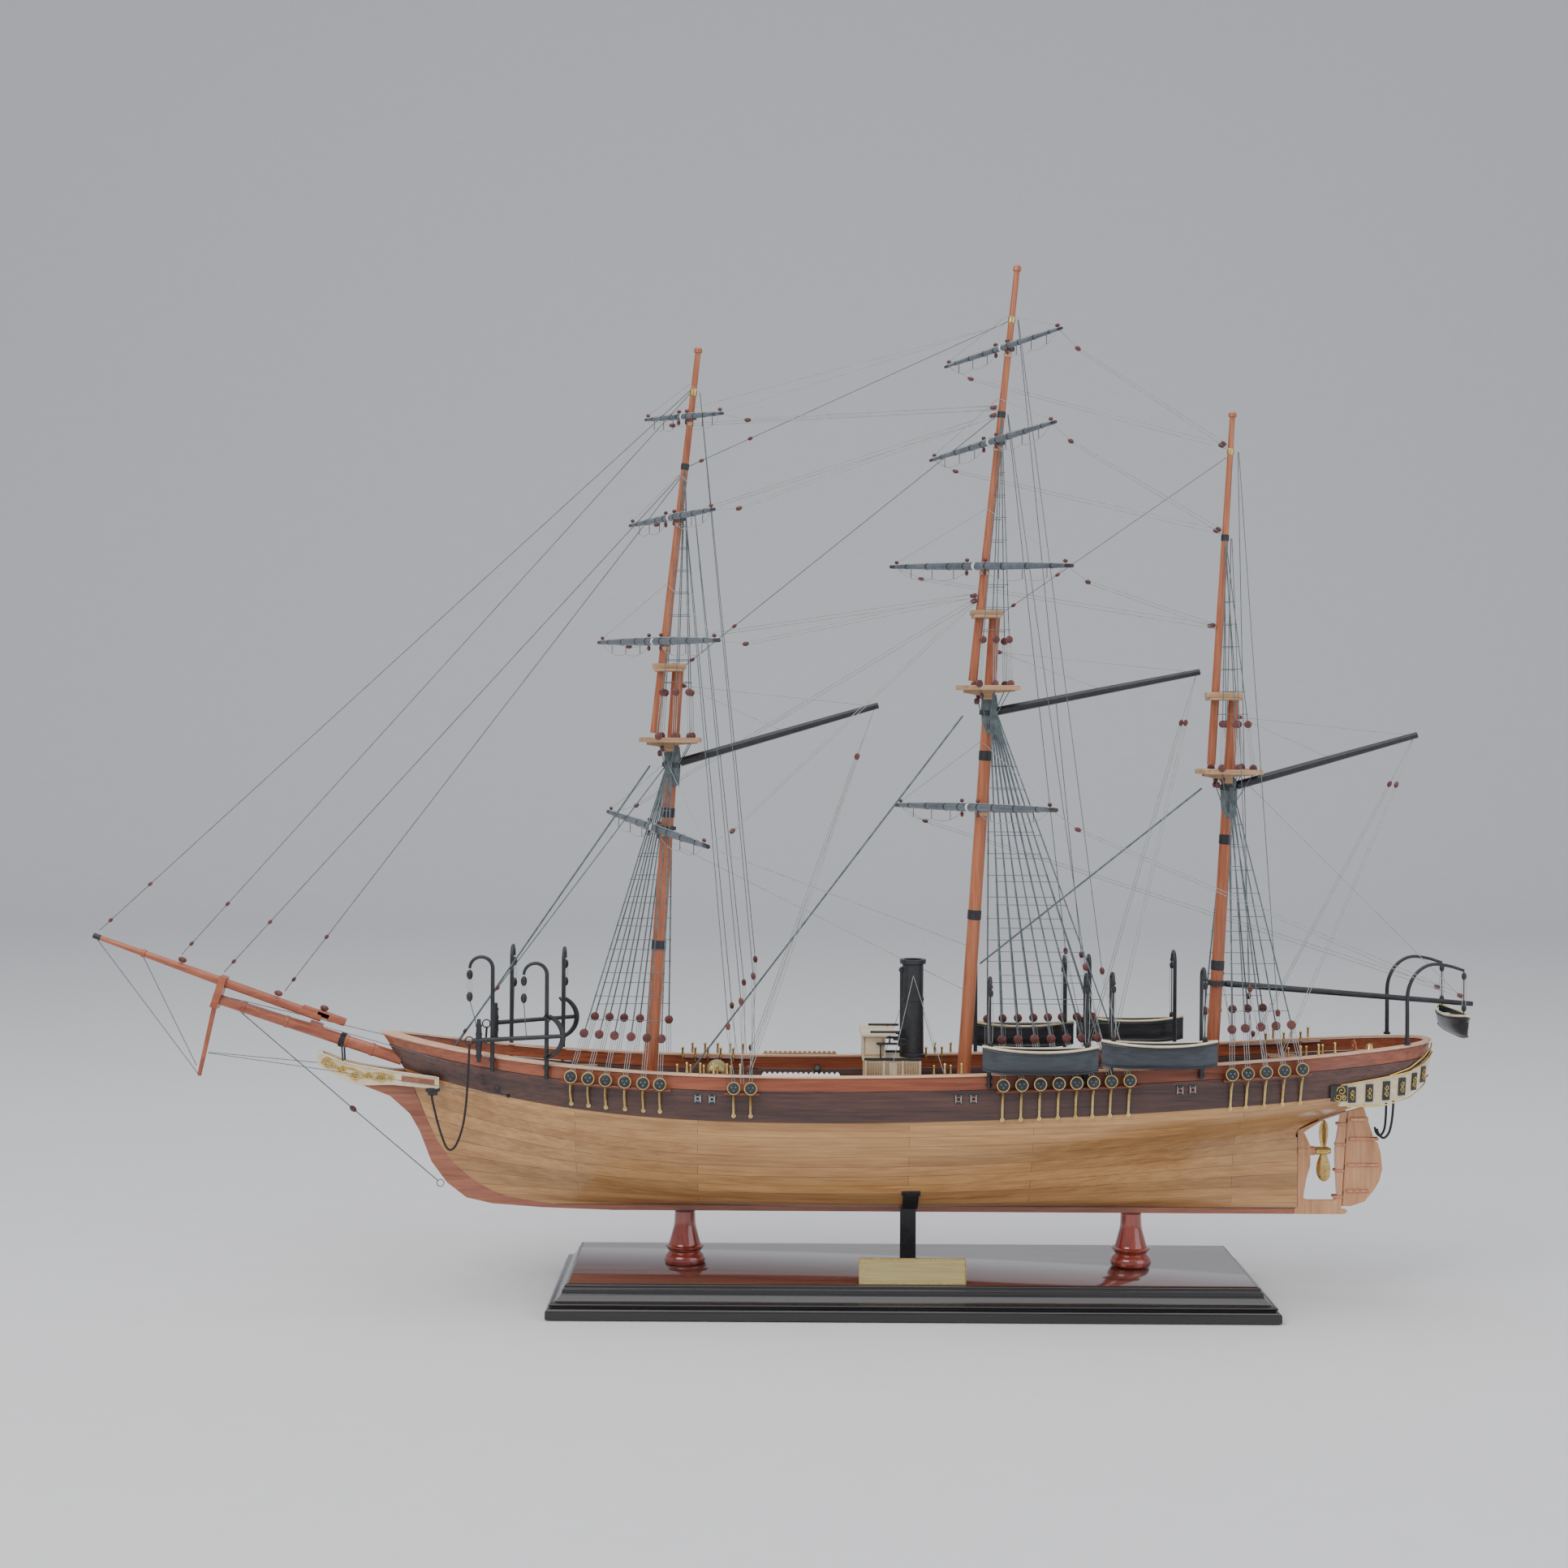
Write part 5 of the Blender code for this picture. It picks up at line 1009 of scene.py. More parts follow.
def patch(corner_x, corner_z, side, out, thick, steps=4):
    """A thin plate laid on the topsides between two x and two z, as rings of eight points along x."""
    x = np.linspace(*corner_x, steps)
    low, high = corner_z
    ring = [side_point(x, np.full(steps, z), side, o)
            for z, o in ((low, out), (low, out + thick), ((low + high) / 2, out + thick), (high, out + thick),
                         (high, out), ((low + high) / 2, out))]
    return np.stack(ring, axis=1)


def curl(turns=1.35, size=1.0, count=22):
    """A flat scroll in a plane: its radius falls evenly with its angle."""
    angle = np.linspace(0.0, turns * 2.0 * math.pi, count)
    radius = size * (1.0 - 0.8 * angle / angle[-1])
    return np.stack([radius * np.cos(angle), radius * np.sin(angle)], axis=-1)


GALLERY_LOW = ((-250.0, 126.0), (-285.7, 125.4), (-305.0, 129.5), (-315.0, 136.0), (-321.0, 141.0))
GALLERY_HIGH = ((-250.0, 138.0), (-265.2, 139.3), (-303.5, 144.5), (-314.0, 149.5), (-321.0, 155.5))


def gallery_z(x, share):
    low, high = (np.interp(-x, [-row[0] for row in table], [row[1] for row in table])
                 for table in (GALLERY_LOW, GALLERY_HIGH))
    return mix(low, high, share)


def make_gallery(settings):
    """Dark framed windows along the cream stern band, a gilded scroll ahead of it and mouldings above and below."""
    piece = Piece("gallery_windows")
    for side in SIDES:
        for x in (-265.5, -276.5, -287.5, -298.0, -306.5, -313.0):
            wide = 2.3 if x > -300.0 else 1.7
            low, high = gallery_z(np.array([x, x]), np.array([0.16, 0.86]))
            piece.add(patch((x - wide, x + wide), (low, high), side, 1.7, 0.5), "band")
            curls = curl(1.2, 1.35) * (1.0, 1.5)
            for lift, flip in ((0.3, 1), (0.68, -1)):
                flat = curls * (1, flip)
                centre = mix(low, high, lift)
                path = side_point(x + flat[:, 0], centre + flat[:, 1], side, 2.4)
                piece.add(tube(path, 0.3, 5), "gold")
        run = np.linspace(-262.0, -320.0, 26)
        for share, colour in ((-0.02, "gold"), (1.02, "gold")):
            piece.add(tube(side_point(run, gallery_z(run, share), side, 1.9), 0.45, 6), colour)
        piece.add(patch((-262.5, -252.0), (129.0, 138.5), side, 1.7, 0.35, 6), "band")
        for x, z, size, flip in ((-258.5, 135.3, 3.0, 1), (-256.5, 131.5, 2.5, -1), (-260.0, 131.0, 1.8, 1)):
            flat = curl(1.4, size) * (1, flip)
            piece.add(tube(side_point(x + flat[:, 0], z + flat[:, 1], side, 2.3), 0.42, 6), "gold")
        run = np.linspace(-290.0, -320.5, 20)
        piece.add(tube(side_point(run, gallery_z(run, 1.0) + np.linspace(0.5, 5.0, 20), side, 1.0), 0.45, 6), "gold")
    piece.make("cream_paint")


def make_channels(settings):
    """Channel planks with their ringed deadeyes on top and brass chain plates that lean in to the hull below."""
    for mast, (front, back, places) in CHANNELS.items():
        for side in SIDES:
            word = "port" if side > 0 else "starboard"
            piece = Piece(mast + "_chains_" + word)
            rows = [(front, back, places, CHANNEL_LINE, 0.0)]
            if mast == "fore":
                rows.append((110.0, 89.5, (104.6, 94.5), CHANNEL_LINE.shifted(-0.4, -0.6), 0.0))
            for ahead, behind, eyes, base, lift in rows:
                x = np.linspace(behind, ahead, 14)
                inner = base.at(x, side, -0.6, lift)
                ring = [inner, base.at(x, side, CHANNEL_WIDTH - 0.5, lift), base.at(x, side, CHANNEL_WIDTH, lift + 0.5),
                        base.at(x, side, CHANNEL_WIDTH, lift + 1.2), base.at(x, side, CHANNEL_WIDTH - 0.5, lift + 1.6),
                        base.at(x, side, -0.6, lift + 1.6)]
                piece.add(np.stack(ring, axis=1), "strake")
                eyes = np.array(eyes)
                spots = base.at(eyes, side, CHANNEL_WIDTH - 0.6, lift + 4.7)
                deadeyes(piece, spots, (0, side, 0), 3.35, 2.6, "band")
                for spot in spots:
                    piece.add(hoop(spot, (0, 1, 0), 3.0, 3.9, 1.4), "brass", looped=True)
                    hole = spot + side * vec(0, 1.2, 0)
                    piece.add(turned(((0, 0.7), (0.35, 0.5)), [hole + vec(x, 0, z) for x, z in
                                     ((-1.2, 0.6), (1.2, 0.6), (0, -1.2))], (0, side, 0), 8), "shroud")
                top = base.at(eyes, side, CHANNEL_WIDTH - 0.4, lift + 0.4)
                foot = side_point(eyes, top[:, 2] - (13.0 if mast == "fore" else 17.0), side, 0.8)
                middle = side_point(eyes, top[:, 2] - 5.0, side, 3.2)
                piece.add(tube(np.stack([top, middle, foot], axis=1), 0.75, 6), "brass")
                piece.add(turned(((-0.6, 0.6), (-0.3, 1.35), (0.5, 1.35), (0.8, 0.6)), foot, (0, side, 0), 10), "brass")
            piece.make("deadeye_black", replaces=[mast + "_channel_" + word])


# Boats: name, middle x, keel height, and the two davits' x
BOATS = (("waist", -76.5, 147.6, (-47.0, -104.0)), ("quarter", -146.7, 151.4, (-119.5, -173.5)))
BOAT_Y = 60.0


def boat_shell(piece, centre, heading, length, beam, depth, keel_z):
    """A double-ended boat: half breadths follow one minus the share to the 2.4, sections a quarter of an oval."""
    share = np.linspace(-1.0, 1.0, 31)
    full = np.maximum(1.0 - np.abs(share) ** 2.4, 0.05)
    half = beam / 2 * full
    low = depth * 0.18 * share ** 4
    rise = depth * (1.0 + 0.18 * share ** 2)
    angle = np.linspace(0.0, math.pi / 2, 9)
    outer = [(half * math.sin(a) ** 0.8, low + (rise - low) * (1 - math.cos(a)) ** 0.9) for a in angle]
    inner = [(half * 0.84 * math.sin(a) ** 0.8, low + 1.2 + (rise - low - 1.2) * (1 - math.cos(a)) ** 0.9)
             for a in angle[::-1]]
    port = outer + inner[:-1]
    bed = [(np.zeros_like(half), low + 1.2)]
    loop = port + bed + [(-y, z) for y, z in inner[:-1][::-1]] + [(-y, z) for y, z in outer[1:][::-1]]
    along = np.array((math.cos(heading), math.sin(heading), 0.0))
    over = np.array((-along[1], along[0], 0.0))
    base = vec(centre[0], centre[1], keel_z) + share[:, None] * length / 2 * along

    def place(y, z):
        return base + y[:, None] * over + z[:, None] * Z

    piece.add(np.stack([place(y, z) for y, z in loop], axis=1), "boat")
    edge_y, edge_z = half * 1.02, rise + 0.1
    for s in SIDES:
        piece.add(tube(place(s * edge_y * 0.96, edge_z), 0.75, 6), "cream")
        piece.add(tube(place(s * edge_y * 1.0, edge_z - 1.9), 0.45, 6), "black")
    piece.add(tube(place(half * 0, low - 0.3), 0.7, 6), "boat")
    for spot in (0.62, 0.3, 0.0, -0.3, -0.62):
        width = float(np.interp(spot, share, half)) * 1.6
        middle = vec(centre[0], centre[1], keel_z + depth * 0.78) + spot * length / 2 * along
        piece.add(slab(middle, (3.6, width, 0.9), heading), "cream")
    floor = vec(centre[0], centre[1], keel_z + depth * 0.3)
    piece.add(slab(floor, (length * 0.66, beam * 0.42, 0.8), heading), "cream")


def fall(piece, upper, lower, size=4.6):
    """A tackle: two black blocks with three threads between them."""
    upper, lower = np.asarray(upper, float), np.asarray(lower, float)
    axis = unit(upper - lower)
    blocks(piece, [upper, lower], axis, size, "black")
    for shift in (-1.1, 0.0, 1.1):
        offset = vec(shift, 0, 0) if abs(axis[0]) < 0.7 else vec(0, shift, 0)
        line(piece, [upper + offset * 0.8, mix(upper, lower, 0.5) + offset * 1.3, lower + offset * 0.8], 0.32, "thread",
             4)
    return piece


def crook(foot, out, height, reach):
    """A davit's path: up, then over in half a circle."""
    foot, out = np.asarray(foot, float), unit(np.asarray(out, float))
    up = np.linspace(0.0, height - reach / 2, 8)[:, None] * Z + foot
    angle = np.linspace(0.0, math.pi, 19)[1:, None]
    bend = foot + (height - reach / 2 + reach / 2 * np.sin(angle)) * Z + reach / 2 * (1 - np.cos(angle)) * out
    return np.concatenate([up, bend])


def make_boats(settings):
    """Quarter boats under their bent irons, with falls, gripes and thwarts, and the boat across the stern."""
    for side in SIDES:
        word = "port" if side > 0 else "starboard"
        for name, x, keel_z, davits in BOATS:
            piece = Piece(name + "_boat_" + word + "_built")
            boat_shell(piece, (x, side * BOAT_Y), 0.0, 68.4, 16.0, 13.5, keel_z)
            for davit_x in davits:
                rail = RAIL_TOP.shifted(1.0).at(davit_x, side)
                foot_y = abs(rail[1]) + 1.7
                foot = vec(davit_x, side * foot_y, rail[2] - 8.0)
                path = crook(foot, (0, side, 0), 66.0, BOAT_Y - foot_y)
                piece.add(tube(path, np.linspace(1.3, 0.85, len(path)), 10), "black")
                for lift in (1.5, 6.0):
                    piece.add(hoop(foot + lift * Z, Z, 1.2, 1.9, 1.2, 12), "black", looped=True)
                tip = path[-1]
                piece.add(turned(((-1.3, 0.4), (-0.8, 1.2), (0.8, 1.2), (1.3, 0.4)), tip, Z, 10), "black")
                fall(piece, tip - 3.6 * Z, (tip[0], tip[1], keel_z + 16.5))
                line(piece, [tip - 1.0 * Z, (tip[0], tip[1], keel_z + 5.0)], 0.7, "black", 5)
            piece.make("black_spar", replaces=[name + "_boat_" + word])
    piece = Piece("stern_boat_built")
    boat_shell(piece, (-336.5, 0.0), math.pi / 2, 64.0, 14.0, 12.0, 165.5)
    for side in SIDES:
        y = side * 24.0
        foot = RAIL_TOP.z(-302.3) + 0.3
        bend = ((-302.3, foot), (-302.3, 178.0), (-302.3, 190.0), (-303.6, 197.0), (-307.0, 203.5), (-312.5, 208.2),
                (-319.0, 210.0), (-328.0, 208.8), (-336.5, 206.2))
        path = smooth([(x, y, float(z)) for x, z in bend], 44)
        piece.add(tube(path, np.linspace(1.3, 0.9, 44), 10), "black")
        piece.add(hoop(path[0] + 0.8 * Z, Z, 1.2, 2.2, 1.2, 12), "black", looped=True)
        tip = path[-1]
        fall(piece, tip - 3.4 * Z, (tip[0], y, 183.5))
        line(piece, [tip, (tip[0], y, 171.0)], 0.7, "black", 5)
    piece.make("black_spar", replaces=["stern_boat"])


# Anchors' irons: direction of their arch, and for each iron its x, its top and where its fall meets the shank
ANCHOR_IRONS = {
    "port": ((1, 0, 0), ((250.3, 212.0, (257.0, 37.1, 162.4)), (217.0, 209.0, (229.0, 40.3, 164.3)))),
    "starboard": ((0, -1, 0), ((246.5, 212.0, (247.0, 38.2, 163.0)), (214.5, 210.0, (214.5, 42.0, 165.3)))),
}


def make_anchors(settings):
    """Anchors with shank, banded wooden stock, ring, curved arms and palms, hung from two irons each."""
    for word, side, outward in ANCHORS:
        piece = Piece("anchor_" + word + "_built")

        def at(x, y, z):
            return vec(x, side * (y + outward), z)

        piece.add(tube(np.linspace(at(262.0, 36.5, 162.0), at(206.0, 43.0, 166.0), 9),
                       np.linspace(1.5, 1.25, 9), 10), "band")
        stock = np.linspace(at(258.0, 36.5, 149.0), at(258.0, 36.5, 175.0), 13)
        swell = 1.0 + 0.9 * np.sin(np.linspace(0.15, math.pi - 0.15, 13))
        piece.add(tube(stock, swell, 12), "black")
        for level in (153.0, 158.0, 166.0, 171.0):
            centre = at(258.0, 36.5, level)
            piece.add(hoop(centre, Z, 1.2, 2.05, 1.0, 14), "band", looped=True)
        turn = np.radians(np.linspace(-62.0, 62.0, 21))
        arms = np.stack([223.0 - 16.0 * np.cos(turn), np.full(21, side * (42.37 + outward)),
                         165.45 + 14.0 * np.sin(turn)], axis=-1)
        piece.add(tube(arms, 0.7 + 1.0 * np.cos(turn), 8), "black")
        for end, lean in ((0, -1), (-1, 1)):
            palm = slab([(0, 0, 0)], (5.0, 6.6, 0.8), 0.0, lean * 0.9, 0.3)
            piece.add(palm + arms[end] + vec(1.2, 0, -lean * 1.6), "black")
        angle = np.linspace(0, 2 * np.pi, 21)[:-1]
        ring = at(263.8, 36.4, 161.8) + 2.5 * np.stack([np.cos(angle), 0 * angle, np.sin(angle)], axis=-1)
        across = np.concatenate([ring, ring[:1], ring[1:2]])
        piece.add(tube(across, 0.4, 6), "band")
        arch, irons = ANCHOR_IRONS[word]
        for x, top, hook in irons:
            rail = RAIL_TOP.at(x, side)
            foot = rail + vec(0, side * 3.6, -9.0)
            path = crook(foot, arch, top - rail[2] + 9.0, 13.8)
            piece.add(tube(path, np.linspace(1.35, 0.9, len(path)), 10), "black")
            piece.add(hoop(foot + 7.0 * Z, Z, 1.2, 2.0, 1.4, 12), "black", looped=True)
            tip = path[-1]
            fall(piece, tip - 3.8 * Z, (tip[0], tip[1], 188.0), 6.0)
            line(piece, [(tip[0], tip[1], 186.5), at(*hook)], 0.6, "shroud", 5)
        piece.make("black_paint", replaces=["anchor_" + word])


def make_masts(settings):
    """Lower masts and topmasts as long tapered turnings, their squared caps and the gear round the tops."""
    for mast, (foot_x, head, top, cap, heel, truck, lower, upper) in MASTS.items():
        piece = Piece(mast + "_mast_pole")
        start, end = mast_ends(mast, "lower")
        z = np.linspace(start[2], end[2], 24)
        axis = unit(end - start)
        run = np.linalg.norm(end - start)
        share = (z - start[2]) / (end[2] - start[2])
        piece.add(turned(np.stack([share * run, mast_radius(mast, "lower", z)], axis=-1), start, axis, 32), "mast")
        piece.add(turned(((-0.6, lower + 1.8), (0.4, lower + 1.8), (1.8, lower + 0.9), (2.2, lower + 0.3)),
                         start, axis, 32), "bowsprit")
        at_cap = mast_at(mast, "topmast", cap)
        behind = mast_at(mast, "lower", cap)[0] - 4.6
        front = at_cap[0] + upper + 3.4
        middle = ((behind + front) / 2, 0.0, cap - 1.8)
        piece.add(slab(middle, (front - behind, 10.0, 3.6), edge=0.6), "tan")
        piece.add(slab(np.array(middle) + (0, 0, -2.4), (front - behind - 3, 24.0, 1.6), edge=0.4), "tan")
        piece.make("mast_wood", replaces=[mast + "_lower_mast"])
        piece = Piece(mast + "_topmast_pole")
        start, end = mast_ends(mast, "topmast")
        axis = unit(end - start)
        run = np.linalg.norm(end - start)
        share = np.linspace(0.0, 0.985, 30)
        radius = upper * mix(1.0, 0.62, share ** 1.5)
        profile = list(zip(share * run, radius)) + [(run * 0.986, 2.6), (run * 0.995, 2.5), (run, 1.4)]
        piece.add(turned(profile, start, axis, 28), "mast")
        piece.make("mast_wood", replaces=[mast + "_topmast"])


def make_top_gear(settings):
    """Battens, rims and posts of the tops, and small blocks under them."""
    piece = Piece("top_gear")
    for mast, (foot_x, head, top, cap, heel, truck, lower, upper) in MASTS.items():
        centre = mast_at(mast, "lower", top)[0]
        angle = np.linspace(-math.pi / 2, math.pi / 2, 25)
        rim = np.stack([mix(centre - 2.0, centre + 20.4, np.clip(np.cos(angle), 0, 1) ** 0.8), 19.4 * np.sin(angle),
                        np.full(25, top + 1.2)], axis=-1)
        rim = np.concatenate([[(centre - 16.4, -19.4, top + 1.2)], rim, [(centre - 16.4, 19.4, top + 1.2)]])
        piece.add(tube(rim, 0.55, 6), "tan")
        spots = [(centre + x, y, top + 1.2) for y in (-15, -10, 10, 15) for x in (2.0,)]
        piece.add(slab(spots, (28.0, 0.8, 0.6), edge=0.2), "tan")
        for side in SIDES:
            blocks(piece, [(centre + 6.0, side * 12.0, top - 5.0), (centre + 8.0, side * 6.0, top - 8.0)], Z, 4.0)
            line(piece, [(centre + 6.0, side * 12.0, top - 1.0), (centre + 6.0, side * 12.0, top - 4.0)], 0.5,
                 "shroud")
    piece.make("top_wood")


def make_bowsprit_gear(settings):
    """Jib-boom and bowsprit fittings: caps, straps, heel step, gammoning, blocks and the striker's guys."""
    piece = Piece("bowsprit_gear")
    foot, head = vec(309.8, 0, 145.4), vec(424.5, 0, 182.2)
    along = unit(head - foot)
    up = vec(-along[2], 0, along[0])
    heel, tip = vec(359.6, 0, 170.9), vec(500.1, 0, 220.5)
    out = unit(tip - heel)

    def band(centre, axis, radius, wide, colour):
        profile = ((-wide, radius - 0.25), (-wide + 0.25, radius), (wide - 0.25, radius), (wide, radius - 0.25))
        piece.add(turned(profile, centre, axis, 24), colour)

    for share in (0.16, 0.3, 0.62, 0.85):
        band(mix(foot, head, share), along, 4.15 - 0.6 * share, 1.3, "bowsprit")
    band(mix(heel, tip, 0.78), out, 2.55, 1.2, "bowsprit")
    band(mix(heel, tip, 0.985), out, 1.75, 2.4, "black")
    for step_x, high in ((-1.5, 4.5), (1.0, 3.2)):
        piece.add(slab(heel + step_x * out * 4 + 2.0 * up, (18.0, 5.0, high), 0.0, math.atan2(out[2], out[0])),
                  "bowsprit")
    # Gammoning: black turns round the bowsprit and down through the head
    for shift in np.linspace(-3.0, 3.0, 6):
        centre = mix(foot, head, 0.32) + shift * along * 0.45
        angle = np.linspace(0, 2 * np.pi, 17)
        loop = centre + 4.4 * (np.cos(angle)[:, None] * vec(0, 1, 0) + np.sin(angle)[:, None] * up)
        line(piece, loop, 0.6, "black")
    for side in SIDES:
        start = mix(foot, head, 0.32) + vec(0, side * 4.3, 0)
        line(piece, [start, start + vec(-1.0, -side * 1.0, -15.0)], 1.2, "black")
    spots = [heel + 0.62 * (tip - heel) + 4.4 * up, heel + 0.0 * out + 6.0 * up, mix(heel, tip, 0.2) + 5.0 * up]
    blocks(piece, spots, out, 5.4)
    blocks(piece, [vec(412.1, 0, 176.3) + 1.5 * up], along, 4.0)
    angle = np.linspace(0, 2 * np.pi, 17)
    ring = vec(285.8, 0, 69.4) + 2.2 * np.stack([np.cos(angle), 0 * angle, np.sin(angle)], axis=-1)
    line(piece, ring, 0.5, "band")
    piece.make("mast_wood")


def make_head(settings):
    """Gilded scrollwork over the cream head boards, and the framed brown panel at their after end."""
    piece = Piece("head_scrolls")
    # Stations of a board: x, underside, top, outer y
    rows = np.array(((361.0, 143.5, 149.6, 2.6), (357.4, 140.7, 149.2, 4.1), (346.4, 134.6, 144.6, 4.1),
                     (335.7, 130.1, 142.2, 4.1), (315.2, 130.8, 138.9, 4.4), (303.0, 130.5, 138.0, 9.2),
                     (294.0, 130.5, 137.6, 14.0), (284.5, 130.4, 137.1, 18.4)))[::-1]

    def at(x, share, side, out=0.3):
        x = np.asarray(x, float)
        low, high, y = (np.interp(x, rows[:, 0], rows[:, i]) for i in (1, 2, 3))
        return np.stack([x, side * (y + out), mix(low, high, np.asarray(share, float))], axis=-1)

    for side in SIDES:
        wave_x = np.linspace(314.0, 356.0, 60)
        for shift, size in ((0.0, 0.22), (math.pi, 0.22)):
            wave = 0.5 + size * np.sin((wave_x - 314.0) / 5.4 + shift)
            piece.add(tube(at(wave_x, wave, side), 0.55, 6), "gold")
        for x, share, size, flip in ((355.0, 0.45, 3.6, 1), (346.0, 0.55, 2.4, -1), (338.0, 0.35, 2.8, 1),
                                     (330.0, 0.55, 2.2, -1), (322.0, 0.4, 2.6, 1), (316.0, 0.5, 1.8, -1)):
            flat = curl(1.5, size)
            centre = at(x, share, side)
            path = centre + np.stack([flat[:, 0], np.full(len(flat), side * 0.2), flip * flat[:, 1]], axis=-1)
            piece.add(tube(path, 0.5, 6), "gold")
        run = np.linspace(286.0, 360.0, 40)
        for share in (0.02, 0.98):
            piece.add(tube(at(run, share, side), 0.6, 6), "cream")
        panel = np.linspace(287.5, 309.0, 8)
        ring = [at(panel, s, side, o) for s, o in ((0.28, 0.0), (0.28, 0.4), (0.5, 0.4), (0.74, 0.4), (0.74, 0.0),
                                                    (0.5, 0.0))]
        piece.add(np.stack(ring, axis=1), "keel")
    # Hawse fittings that the cables run out of
    for side in SIDES:
        spot = vec(288.3, side * 17.3, 129.4)
        piece.add(slab(spot, (8.5, 3.0, 2.2), side * 0.5), "black")
        piece.add(slab(spot - vec(0, 0, 2.0), (5.5, 3.2, 2.6), side * 0.5), "band")
    piece.make("cream_paint")


def make_stern_gear(settings):
    """Copper straps on the rudder and post, dark pintles, and the black rudder pendants from the counter."""
    piece = Piece("rudder_straps")
    foot, head = vec(-269.7, 0, 57.0), vec(-272.9, 0, 118.0)
    for z, long in ((68.0, 14.0), (84.0, 19.0), (100.0, 18.0), (112.0, 9.0)):
        x = mix(foot[0], head[0], (z - 57.0) / 61.0)
        for side in SIDES:
            piece.add(slab((x - 1.0 - long / 2, side * 1.55, z), (long, 0.9, 1.9), edge=0.3), "copper")
            pins = [(x - 3.0 - s * (long - 5), side * 2.0, z) for s in (0.05, 0.5, 0.95)]
            piece.add(turned(((-0.2, 0.5), (0.1, 0.5), (0.3, 0.2)), pins, (0, side, 0), 8), "brass")
    piece.make("rudder_wood", "rudder")
    piece = Piece("post_straps")
    for z in (64.5, 80.5, 96.5, 109.0):
        x = mix(foot[0], head[0], (z - 57.0) / 61.0)
        for side in SIDES:
            piece.add(slab((x + 4.2, side * 2.35, z), (6.0, 0.7, 1.8), edge=0.25), "copper")
        piece.add(slab((x + 1.4, 0, z + 2.2), (1.6, 3.4, 2.6), edge=0.3), "band")
    for side in SIDES:
        piece.add(slab((-297.6, side * 9.0, 127.4), (9.0, 3.4, 1.8), 0.0, -0.25), "black")
    piece.make("red_brown_wood")
    for side in SIDES:
        word = "port" if side > 0 else "starboard"
        piece = Piece("rudder_pendant_" + word)
        route = ((-297.6, 9.0, 126.7), (-298.1, 8.6, 122.7), (-297.6, 7.2, 112.0), (-296.2, 5.6, 104.5),
                 (-293.4, 4.2, 101.2), (-290.8, 3.2, 103.2), (-289.6, 2.4, 106.6))
        path = smooth([(x, side * y, z) for x, y, z in route], 30)
        piece.add(tube(path, 0.75, 8), "cable")
        piece.make("cable_black", ("rudder", path[0], path[-1]))


